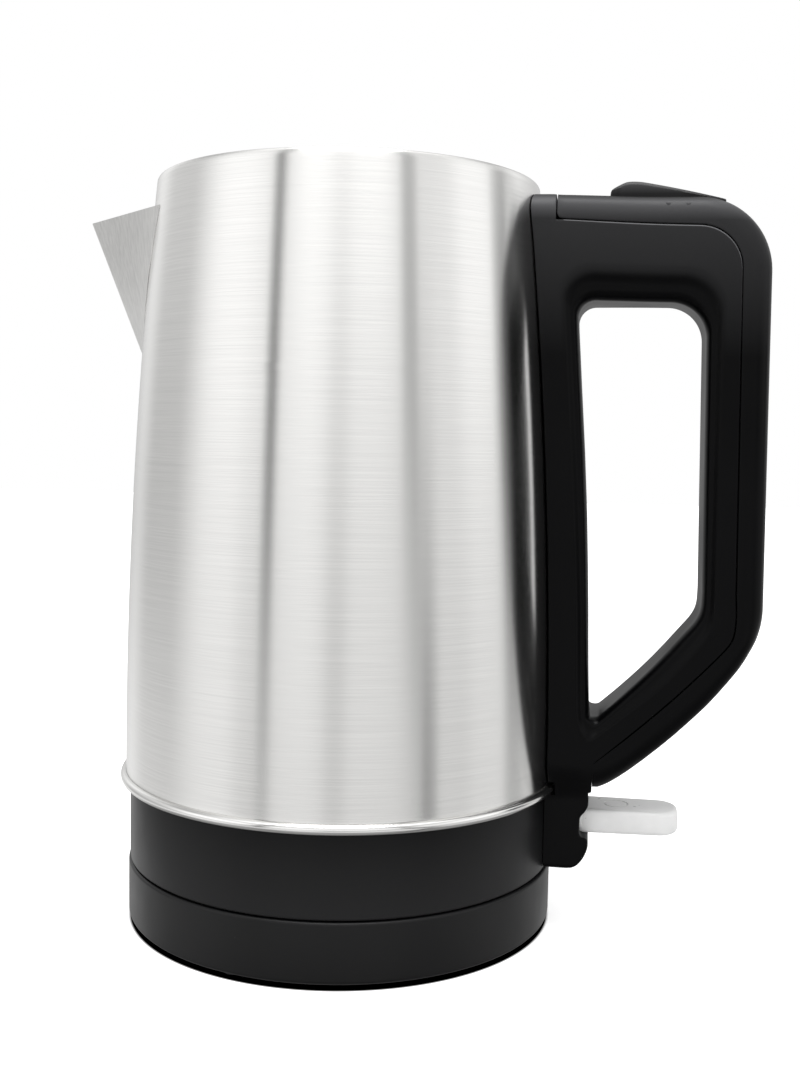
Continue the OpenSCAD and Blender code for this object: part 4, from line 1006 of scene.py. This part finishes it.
    def cover(self, sizes):
        """The cover strip: a section, flat beside the seam and rounding over to its back, carried along it."""
        gap = sizes.seam / MM
        seam = [
            rounded([(71.7, 240.2), (71.75, 239.6), (72.2, 238.95), (72.9, 238.65), (74.0, 238.55)], 2),
            line((74.0, 238.55), (CORNER_X, SEAM_Z + gap), 22),
            arc(CORNER_X, SEAM_Z - SEAM_R, SEAM_R + gap, 90, 0, 26),
            line((CORNER_X + SEAM_R + gap, SEAM_Z - SEAM_R), (132.9 + gap, 118.0), 26),
            rounded(SEAM_BEND, 3) + np.array([gap, -0.3 * gap]),
            rounded(SEAM_LOW, 1) + np.array([0.75 * gap, -0.7 * gap])]
        seam[-1][-1] = (88.47, 59.6)
        corner_x, corner_z = HANDLE_REACH - CORNER_R - 1.5, HANDLE_TOP - CORNER_R
        bend_x, bend_r, bend_turn = HANDLE_REACH - 28.4, 28.4, math.radians(28)
        crest = [
            line((71.7, HANDLE_TOP), (75.8, HANDLE_TOP), 10),
            line((75.8, HANDLE_TOP), (corner_x, HANDLE_TOP), 22),
            arc(corner_x, corner_z, CORNER_R, 90, 0, 26),
            line((corner_x + CORNER_R, corner_z), (HANDLE_REACH, BEND_Z), 26),
            arc(bend_x, BEND_Z, bend_r, 0, -28, 18),
            resample(rounded([
                (bend_x + bend_r * math.cos(bend_turn), BEND_Z - bend_r * math.sin(bend_turn)), (138.1, 95.8),
                (135.2, 91.0), (127.4, 80.9), (122.1, 75.2), (113.4, 66.5), (103.0, 57.5), (95.0, 51.7),
                (90.2, 49.3), (88.5, 49.6)], 1), 38)]
        inner = np.concatenate([resample(s, len(c))[:-1] for s, c in zip(seam, crest)] + [seam[-1][-1:]])
        outer = np.concatenate([c[:-1] for c in crest] + [crest[-1][-1:]])
        along = outer - inner
        length = np.linalg.norm(along, axis=1)[:, None]
        lip, round_w = 0.35, 7.4
        a = np.linspace(0, math.pi / 2, 5)
        q_lip = lip * (1 - np.cos(a)) / np.maximum(length, 1.5)
        flat_to = 0.26
        q_flat = np.linspace(0, 1, 5)[1:-1] * (flat_to - q_lip[:, -1:]) + q_lip[:, -1:]
        turn = np.linspace(0, 1, 18)
        q_turn = flat_to + (1 - flat_to) * np.sin(turn * math.pi / 2) ** 0.9 + 0 * length
        q = np.concatenate([q_lip, q_flat, q_turn], 1)
        at = inner[:, None] + along[:, None] * q[..., None]
        w = panel_half(at[..., 0], at[..., 1], sizes)
        round_over = (1 - np.cos(turn * math.pi / 2))
        drop = np.concatenate([
            lip * (1 - np.sin(a)) + 0 * q_lip, 0 * q_flat, round_w * round_over + 0 * q_turn], 1)
        half = w - drop
        near = np.stack([at[..., 0], -half, at[..., 1]], -1)
        across = np.linspace(-1, 1, 11)[1:-1]
        y_top = across * half[:, -1:]
        out_dir = along / length
        back = np.stack([outer[:, :1] + 0 * y_top, y_top, outer[:, 1:] + 0 * y_top], -1)
        # the back sinks a little towards its edges
        sink = 0.45
        near[:, :, 0] -= out_dir[:, :1] * sink * q ** 6
        near[:, :, 2] -= out_dir[:, 1:] * sink * q ** 6
        back[:, :, 0] -= out_dir[:, :1] * sink * across ** 4
        back[:, :, 2] -= out_dir[:, 1:] * sink * across ** 4
        far = near[:, ::-1] * np.array([1, -1, 1])
        y_in = -across[::2] * half[:, :1]
        under = np.stack([inner[:, :1] + 0 * y_in, y_in, inner[:, 1:] + 0 * y_in], -1)
        rings = np.concatenate([near, back, far, under], 1)
        skin = Skin()
        skin.grid(rings, wrap_cols=True)
        skin.cap(rings[0])
        skin.cap(rings[-1])
        cover = skin.build("handle_cover_strip", 40)
        tools = [box_tool((WELL_X, -WELL_HALF_W, WELL_LOW), (126.1, WELL_HALF_W, WELL_HIGH))]
        dimple_z, dimple_r, dimple_y = 244.0, 0.75, -13.55
        for x in (107.0, 113.3):
            tools.append(rod_tool((x, -16, dimple_z), (x, dimple_y, dimple_z), dimple_r, 20))
        cut(cover, tools, sharp=40)
        finish(cover, "cover", "handle_black", "kettle", "handle_cover")


class KETTLE_OT_lever(Operator):
    """Builds the lid release lever: a wedge with bevelled shoulders, carried along the handle"""

    bl_idname = "kettle.lever"
    bl_label = "Build the release lever"

    def execute(self, context):
        half_w = 9.5
        x0, x1 = 88.5, 125.5
        top = rounded([
            (x0, 247.0), (x0 + 0.1, 249.4), (89.6, 250.3), (92.6, 251.9), (94.2, 252.45), (97.2, 252.45),
            (99.8, 252.15), (112.0, 249.75), (x1 - 0.6, 246.75), (x1, 246.3)], 2)
        under = np.full(len(top), 243.6)
        shoulder = np.interp(top[:, 0], [x0, 94, 100, x1], [0.9, 1.9, 1.9, 1.0])
        # shares of the half width from the side to the middle, and how far the last six have risen
        across = np.array([1.0, 1.0, 0.985, 0.94, 0.80, 0.70, 0.62, 0.3, 0.0])
        risen = (0.45, 0.62, 0.9, 0.985, 1.0, 1.0)
        side_z = [under, under + 0.4 * (top[:, 1] - shoulder - under), top[:, 1] - shoulder]
        z = np.stack(side_z + [top[:, 1] - shoulder * (1 - f) for f in risen], 1)
        half = np.stack([-half_w * np.repeat(across[None], len(top), 0), z], -1)
        near = np.stack([np.repeat(top[:, :1], half.shape[1], 1), half[..., 0], half[..., 1]], -1)
        far = near[:, -2::-1] * np.array([1, -1, 1])
        rings = np.concatenate([near, far], 1)
        skin = Skin()
        skin.grid(rings, wrap_cols=True)
        skin.cap(rings[0])
        skin.cap(rings[-1])
        lever = skin.build("lever_wedge", 30)
        change = lever.modifiers.new("edges", "BEVEL")
        change.width, change.segments, change.limit_method = 0.35 * MM, 2, "ANGLE"
        change.angle_limit = math.radians(40)
        hub_r, arm_half, arm_low = 3.2, 1.5, 232
        hub = rod_tool((LEVER_X, -half_w, LEVER_Z), (LEVER_X, half_w, LEVER_Z), hub_r)
        arm = box_tool((LEVER_X - arm_half, -2, arm_low), (LEVER_X + arm_half, 2, LEVER_Z - 1))
        foot = rod_tool((LEVER_X, -2, arm_low), (LEVER_X, 2, arm_low), arm_half)
        cut(lever, [hub, arm, foot], "UNION", 30)
        finish(lever, "lever", "handle_black", "release_lever", "release_lever")
        return {"FINISHED"}


class KETTLE_OT_paddle(Operator):
    """Builds the frosted switch paddle: a slab with a soft round edge and a ring pressed into its top"""

    bl_idname = "kettle.paddle"
    bl_label = "Build the switch paddle"

    def execute(self, context):
        half_w, reach, root, half_t = 9.0, 118.0, 84.6, 4.0
        corner, edge_r = 7.2, 1.7
        near = np.concatenate([line((root, -half_w), (reach - corner, -half_w), 24),
                               arc(reach - corner, -half_w + corner, corner, -90, -8, 14)])
        outline = np.concatenate([near, near[::-1] * np.array([1, -1])])
        corner_middle = np.repeat([[reach - corner, corner - half_w]], 14, 0)
        pull = np.concatenate([near[:24] + np.array([0, 1.0]), corner_middle])
        inward = np.concatenate([pull, pull[::-1] * np.array([1, -1])]) - outline
        inward /= np.linalg.norm(inward, axis=1)[:, None]
        # the edge turns a quarter up from the bottom and, past the middle, a quarter more to the top
        a = np.linspace(-90, 90, 19)
        inset = edge_r * (1 - np.cos(np.radians(a)))
        height = np.sign(a) * (half_t - edge_r) + edge_r * np.sin(np.radians(a))
        rings = np.stack([
            np.concatenate([outline + inward * i, np.full((len(outline), 1), PADDLE_Z + h)], 1)
            for i, h in zip(inset, height)])
        # the underside falls away a little towards the root
        below = np.clip((PADDLE_Z - rings[..., 2]) / half_t, 0, 1)
        rings[..., 2] -= 0.5 * below * (1 - np.clip((rings[..., 0] - root) / (reach - root), 0, 1))
        skin = Skin()
        skin.grid(rings, wrap_cols=True)
        for ring in (rings[0], rings[-1]):
            skin.grid(np.stack([ring * np.array([1, k, 1]) for k in (1, 0.75, 0.5, 0.25, 0)]))
        paddle = skin.build("switch_paddle_clear", 50)
        root_half_t, tail_half_t, tail_end, hub_r, pin_r = 2.6, 1.2, 66.5, 2.8, 1.55
        mark = ring_tool(97.0, 0, PADDLE_Z + half_t, 4.0, 0.28)
        root_block = box_tool(
            (PADDLE_X, -half_w, PADDLE_Z - root_half_t), (root + 1.0, half_w, PADDLE_Z + root_half_t))
        hub = rod_tool((PADDLE_X, -half_w, PADDLE_Z), (PADDLE_X, half_w, PADDLE_Z), hub_r)
        tail = box_tool((tail_end, -3, PADDLE_Z - tail_half_t), (PADDLE_X, 3, PADDLE_Z + tail_half_t))
        cut(paddle, [root_block, hub, tail], "UNION", 50)
        pin_hole = rod_tool((PADDLE_X, -12, PADDLE_Z), (PADDLE_X, 12, PADDLE_Z), pin_r)
        cut(paddle, [mark, pin_hole], "DIFFERENCE", 50)
        finish(paddle, "frosted", "clear_paddle", "switch_paddle", "switch_paddle")
        return {"FINISHED"}


def ring_tool(x, y, z, r, wire):
    """A closed ring lying flat: a small circle carried round a larger one."""
    a = np.linspace(0, 2 * math.pi, 64, endpoint=False)[:, None]
    b = np.linspace(0, 2 * math.pi, 10, endpoint=False)[None]
    p = np.stack([x + (r + wire * np.cos(b)) * np.cos(a), y + (r + wire * np.cos(b)) * np.sin(a),
                  z + wire * np.sin(b) + 0 * a], -1)
    skin = Skin()
    skin.grid(p, wrap_rows=True, wrap_cols=True)
    return skin.build("tool")


# ---- Lid ----


class KETTLE_OT_lid(Operator):
    """Builds the lid's moulded cover: a turned plate with a shadow groove, a plug wall and a knuckle"""

    bl_idname = "kettle.lid"
    bl_label = "Build the lid"

    def execute(self, context):
        n = context.scene.kettle_studio.around
        lid_r = AXIS_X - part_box("lid_cover")[0].x / MM
        z0, top, edge_r = 245.8, 249.2, 1.3
        plug_out, plug_in, plug_low = 51.6, 49.6, 238.0
        profile = [(0.0, top - 0.25), (20, top - 0.2), (38, top - 0.05), (40.6, top), (41.2, top - 0.5),
                   (42.6, top - 0.5), (43.2, top), (53.6, top), (55.0, top - 0.12)]
        profile += arc(lid_r - edge_r, top - 1.4, edge_r, 78, 0, 8).tolist()
        profile += [(lid_r, z0 + 0.4), (lid_r - 0.4, z0), (plug_out, z0), (plug_out, plug_low),
                    (plug_in, plug_low), (plug_in, z0 + 1.2), (0.0, z0 + 1.2)]
        lid = turned("lid_plate", profile, n, closed=False)
        hinge_x, hinge_z, half_w, knuckle_r, pin_r = 59.5, 247.6, 7.7, 2.2, 1.25
        block = box_tool((plug_out, -half_w, z0 + 0.02), (hinge_x, half_w, hinge_z + 1))
        knuckle = rod_tool((hinge_x, -half_w, hinge_z), (hinge_x, half_w, hinge_z), knuckle_r)
        cut(lid, [block, knuckle], "UNION")
        cut(lid, [rod_tool((hinge_x, -9, hinge_z), (hinge_x, 9, hinge_z), pin_r)])
        finish(lid, "lid", "lid_black", "lid", "lid_cover")
        return {"FINISHED"}


# ---- CAD nodes that stay in view ----

SLOT_FINISH = {
    "satin_black": "plastic", "handle_black": "handle", "lid_black": "lid", "inner_black": "inner",
    "brushed_body": "brushed", "spout_steel": "spout", "plain_steel": "plain", "mesh_steel": "mesh",
    "polished_trim": "polished", "plate_aluminium": "aluminium", "zinc_screw": "zinc",
    "contact_brass": "brass", "soft_rubber": "rubber",
    "connector_grey": "grey", "control_cream": "cream", "clear_paddle": "frosted",
    "board_green": "board", "lamp_clear": "lamp",
}


class KETTLE_OT_inner_pieces(Operator):
    """Gives each CAD node that stays in view the finish of its material slot"""

    bl_idname = "kettle.inner_pieces"
    bl_label = "Finish the inner pieces"

    def execute(self, context):
        for part in frame["record"]["subparts"]:
            obj = frame["nodes"][part["node"]]
            made = FINISH[SLOT_FINISH[part["material_slot"]]]
            if part["material_slot"] == "brushed_body":
                made = FINISH["plain"]
            obj.data.materials.clear()
            obj.data.materials.append(made)
        return {"FINISHED"}


# ---- Stage ----


# The studio's level by height: the sine of the elevation, and the level there.
LEVELS = ((-1.0, 0.30), (-0.55, 0.38), (-0.36, 0.95), (-0.22, 1.0), (-0.07, 0.72), (0.09, 0.92), (0.2, 1.08),
          (0.36, 1.26), (0.5, 1.16), (0.68, 0.7), (0.85, 1.3), (1.0, 1.6))
# Panels and the gaps between them. A bearing runs from the stage's front towards the handle, in degrees.
# Each row has the bearing low down and high up, the half width, the softness, the share of the light that
# is missing low down and high up (below zero where there is more of it), and the heights of low and high.
GAPS = (
    (-27, -29.5, 1.6, 2.6, 0.08, 0.98, -0.18, -0.04),
    (-38, -38, 3.0, 12.0, 0.18, 0.0, -0.1, 0.15),
    (-55, -55, 6.0, 16.0, -0.05, -0.12, -0.1, 0.2),
    (-102, -102, 10.0, 24.0, 0.14, 0.40, -0.35, 0.0),
    (57, 45, 2.4, 3.6, 0.72, 0.60, -0.22, 0.12),
    (70, 64, 3.0, 13.0, 0.16, 0.14, -0.1, 0.2),
    (7, 7, 1.0, 8.0, 0.12, 0.08, -0.1, 0.2),
    (86, 86, 6.0, 12.0, 0.10, -0.07, -0.05, 0.12),
    (115, 115, 5.0, 9.0, 0.30, 0.30, -0.1, 0.2),
    (178, 178, 20.0, 40.0, 0.22, 0.40, -0.1, 0.2),
    (-178, -178, 20.0, 40.0, 0.22, 0.40, -0.1, 0.2),
)
# Flags that stand in the light, a dark one beside the handle first. Each row has the bearing at the two
# FLAG_HEIGHTS, the half width, the softness, the share that is missing, and the flag's middle, half height
# and softness in height.
FLAGS = (
    (110.5, 105, 5.2, 3.0, 0.97, 0.09, 0.13, 0.09),
    (26, 26, 22.0, 14.0, 0.17, 0.06, 0.16, 0.25),
    (7, 7, 1.0, 7.0, 0.30, -0.06, 0.04, 0.12),
    (50.5, 50.5, 2.8, 3.0, 0.85, -0.06, 0.03, 0.07),
)
FLAG_HEIGHTS = (-0.1, 0.2)


def environment(strength):
    """Soft light from all round: even for matt surfaces, while gloss shows the gaps between the panels."""
    world = bpy.data.worlds.new("studio")
    world.use_nodes = True
    bpy.context.scene.world = world
    tree = world.node_tree
    tree.nodes.clear()
    where = node(tree, "ShaderNodeTexCoord")
    parts = node(tree, "ShaderNodeSeparateXYZ", {0: where.outputs["Generated"]})

    def math_node(operation, *values):
        """A sum on numbers and on other nodes' outputs."""
        made = node(tree, "ShaderNodeMath", operation=operation)
        for place, value in enumerate(values):
            if isinstance(value, (int, float)):
                made.inputs[place].default_value = value
            else:
                tree.links.new(value, made.inputs[place])
        return made.outputs[0]

    front = math_node("MULTIPLY", parts.outputs[1], -1)
    bearing = math_node("ARCTAN2", parts.outputs[0], front)
    height = parts.outputs[2]
    ramp = node(tree, "ShaderNodeValToRGB", {0: math_node("MULTIPLY_ADD", height, 0.5, 0.5)})
    stops = ramp.color_ramp.elements
    while len(stops) < len(LEVELS):
        stops.new(0.5)
    for stop, (at, value) in zip(stops, LEVELS):
        stop.position = at * 0.5 + 0.5
        stop.color = (value / 2, value / 2, value / 2, 1)
    level = math_node("MULTIPLY", ramp.outputs[0], 2)

    def by_height(down, up, low, high):
        """A value that goes from low to high between two heights."""
        return ranged(tree, height, low, high, down, up)

    def inside(value, middle, half, soft):
        """One where the value is near the middle, falling softly to nought."""
        away = math_node("ABSOLUTE", math_node("SUBTRACT", value, middle))
        return node(tree, "ShaderNodeMapRange", {0: away}, in_1=half, in_2=half + soft, in_3=1.0, in_4=0.0,
                    interpolation_type="SMOOTHSTEP").outputs[0]

    rows = []
    for low, high, half, soft, less_low, less_high, down, up in GAPS:
        rows.append((low, high, half, soft, by_height(down, up, less_low, less_high), down, up))
    for low, high, half, soft, less, flag_z, flag_half_h, fade in FLAGS:
        missing = math_node("MULTIPLY", inside(height, flag_z, flag_half_h, fade), less)
        rows.append((low, high, half, soft, missing, *FLAG_HEIGHTS))
    for low, high, half, soft, missing, down, up in rows:
        middle = by_height(down, up, math.radians(low), math.radians(high))
        shape = inside(bearing, middle, math.radians(half), math.radians(soft))
        level = math_node("MULTIPLY", level, math_node("SUBTRACT", 1, math_node("MULTIPLY", shape, missing)))
    gloss = node(tree, "ShaderNodeBackground", {0: level}, in_1=strength)
    plain = node(tree, "ShaderNodeBackground", in_0=(1, 1, 1, 1), in_1=strength)
    path = node(tree, "ShaderNodeLightPath")
    mixed = node(tree, "ShaderNodeMixShader",
                 {0: path.outputs["Is Glossy Ray"], 1: plain.outputs[0], 2: gloss.outputs[0]})
    node(tree, "ShaderNodeOutputWorld", {0: mixed.outputs[0]})


class KETTLE_OT_stage(Operator):
    """Sets up the pale floor, the soft light and the camera"""

    bl_idname = "kettle.stage"
    bl_label = "Set up the stage"

    def execute(self, context):
        scene, studio = context.scene, context.scene.kettle_studio
        half = studio.floor_size / 2
        corners = [(-half, -half, 0), (half, -half, 0), (half, half, 0), (-half, half, 0)]
        mesh = bpy.data.meshes.new("floor")
        mesh.from_pydata(corners, [], [(0, 1, 2, 3)])
        floor = bpy.data.objects.new("floor", mesh)
        scene.collection.objects.link(floor)
        made = bpy.data.materials.new("pale_floor")
        made.use_nodes = True
        tree = made.node_tree
        tree.nodes.clear()
        # the floor is pale and glows for the camera; under the base its colour and glow are painted dark, a
        # painted contact shadow
        pale, glow_level = 0.8, 0.62
        shade_in, shade_out = BASE_R * MM - 0.0006, BASE_R * MM + 0.0003
        where = node(tree, "ShaderNodeTexCoord").outputs["Object"]
        offset = node(tree, "ShaderNodeVectorMath", {0: where}, operation="ADD", in_1=(-AXIS_X * MM, 0, 0))
        away = node(tree, "ShaderNodeVectorMath", {0: offset.outputs[0]}, operation="LENGTH").outputs[1]
        matt = node(tree, "ShaderNodeBsdfDiffuse", {0: ranged(tree, away, 0.0, pale, shade_in, shade_out)})
        glow = node(tree, "ShaderNodeEmission",
                    {1: ranged(tree, away, 0.0, glow_level, shade_in, shade_out)}, in_0=(1, 1, 1, 1))
        path = node(tree, "ShaderNodeLightPath")
        none = node(tree, "ShaderNodeEmission", in_0=(0, 0, 0, 1), in_1=0.0)
        seen = node(tree, "ShaderNodeMixShader",
                    {0: path.outputs["Is Camera Ray"], 1: none.outputs[0], 2: glow.outputs[0]})
        both = node(tree, "ShaderNodeAddShader", {0: matt.outputs[0], 1: seen.outputs[0]})
        clear = node(tree, "ShaderNodeBsdfTransparent")
        shown = node(tree, "ShaderNodeMixShader",
                     {0: path.outputs["Is Glossy Ray"], 1: both.outputs[0], 2: clear.outputs[0]})
        node(tree, "ShaderNodeOutputMaterial", {0: shown.outputs[0]})
        mesh.materials.append(made)
        environment(studio.light)
        lamp = self.lamp(scene)
        self.camera(scene)
        scene.view_settings.view_transform = "Standard"
        return {"FINISHED"}

    def lamp(self, scene):
        """A soft panel above and in front, turned towards the kettle."""
        panel = bpy.data.lights.new("soft_panel", "AREA")
        panel.shape, panel.size, panel.size_y, panel.energy = "RECTANGLE", 0.72, 0.55, 8.0
        lamp = bpy.data.objects.new("soft_panel", panel)
        scene.collection.objects.link(lamp)
        lamp.location = (0.02, -0.3, 1.3)
        aim = Vector((0.0, 0.0, 0.15))
        lamp.rotation_euler = (aim - lamp.location).to_track_quat("-Z", "Y").to_euler()
        return lamp

    def camera(self, scene):
        """The camera stands before the kettle, a little to its right, and looks slightly down."""
        lens = bpy.data.cameras.new("camera")
        lens.sensor_fit, lens.sensor_height, lens.lens = "AUTO", 24.0, 41.36
        lens.sensor_width = 36.0
        lens.clip_start, lens.clip_end = 0.01, 50
        camera = bpy.data.objects.new("camera", lens)
        scene.collection.objects.link(camera)
        yaw, pitch, roll = math.radians(-8.48), math.radians(-4.887), math.radians(1.026)
        ahead = Vector((math.sin(yaw) * math.cos(pitch), math.cos(yaw) * math.cos(pitch), math.sin(pitch)))
        right = Vector((math.cos(yaw), -math.sin(yaw), 0))
        up = right.cross(ahead)
        side = right * math.cos(roll) + up * math.sin(roll)
        over = up * math.cos(roll) - right * math.sin(roll)
        place = Matrix((side, over, -ahead)).transposed().to_4x4()
        place.translation = Vector((0.05915, -0.4329, 0.16703))
        camera.matrix_world = place
        scene.camera = camera


# ---- Panel, registration and the run ----

STEPS = (
    KETTLE_OT_finishes, KETTLE_OT_inner_pieces, KETTLE_OT_vessel, KETTLE_OT_trim_ring, KETTLE_OT_spout,
    KETTLE_OT_collar, KETTLE_OT_power_base, KETTLE_OT_handle, KETTLE_OT_lever, KETTLE_OT_paddle,
    KETTLE_OT_lid, KETTLE_OT_stage,
)


class KETTLE_PT_panel(Panel):
    """Lists the sizes, the finishes and the steps that build the kettle"""

    bl_idname = "KETTLE_PT_panel"
    bl_label = "Kettle"
    bl_space_type = "VIEW_3D"
    bl_region_type = "UI"
    bl_category = "Kettle"

    def draw(self, context):
        layout = self.layout
        for group in (context.scene.kettle_sizes, context.scene.kettle_finishes, context.scene.kettle_studio):
            column = layout.column(align=True)
            for name in group.__annotations__:
                column.prop(group, name)
        for step in STEPS:
            layout.operator(step.bl_idname)


CLASSES = (KettleSizes, KettleFinishes, KettleStudio, *STEPS, KETTLE_PT_panel)


def register():
    """Registers the classes and hangs the settings on the scene."""
    for made in CLASSES:
        bpy.utils.register_class(made)
    bpy.types.Scene.kettle_sizes = PointerProperty(type=KettleSizes)
    bpy.types.Scene.kettle_finishes = PointerProperty(type=KettleFinishes)
    bpy.types.Scene.kettle_studio = PointerProperty(type=KettleStudio)


def unregister():
    """Takes the settings and the classes away again."""
    del bpy.types.Scene.kettle_studio
    del bpy.types.Scene.kettle_finishes
    del bpy.types.Scene.kettle_sizes
    for made in reversed(CLASSES):
        bpy.utils.unregister_class(made)


def main():
    """Registers the add-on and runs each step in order."""
    register()
    for step in STEPS:
        group, name = step.bl_idname.split(".")
        getattr(getattr(bpy.ops, group), name)()


if __name__ == "__main__":
    main()
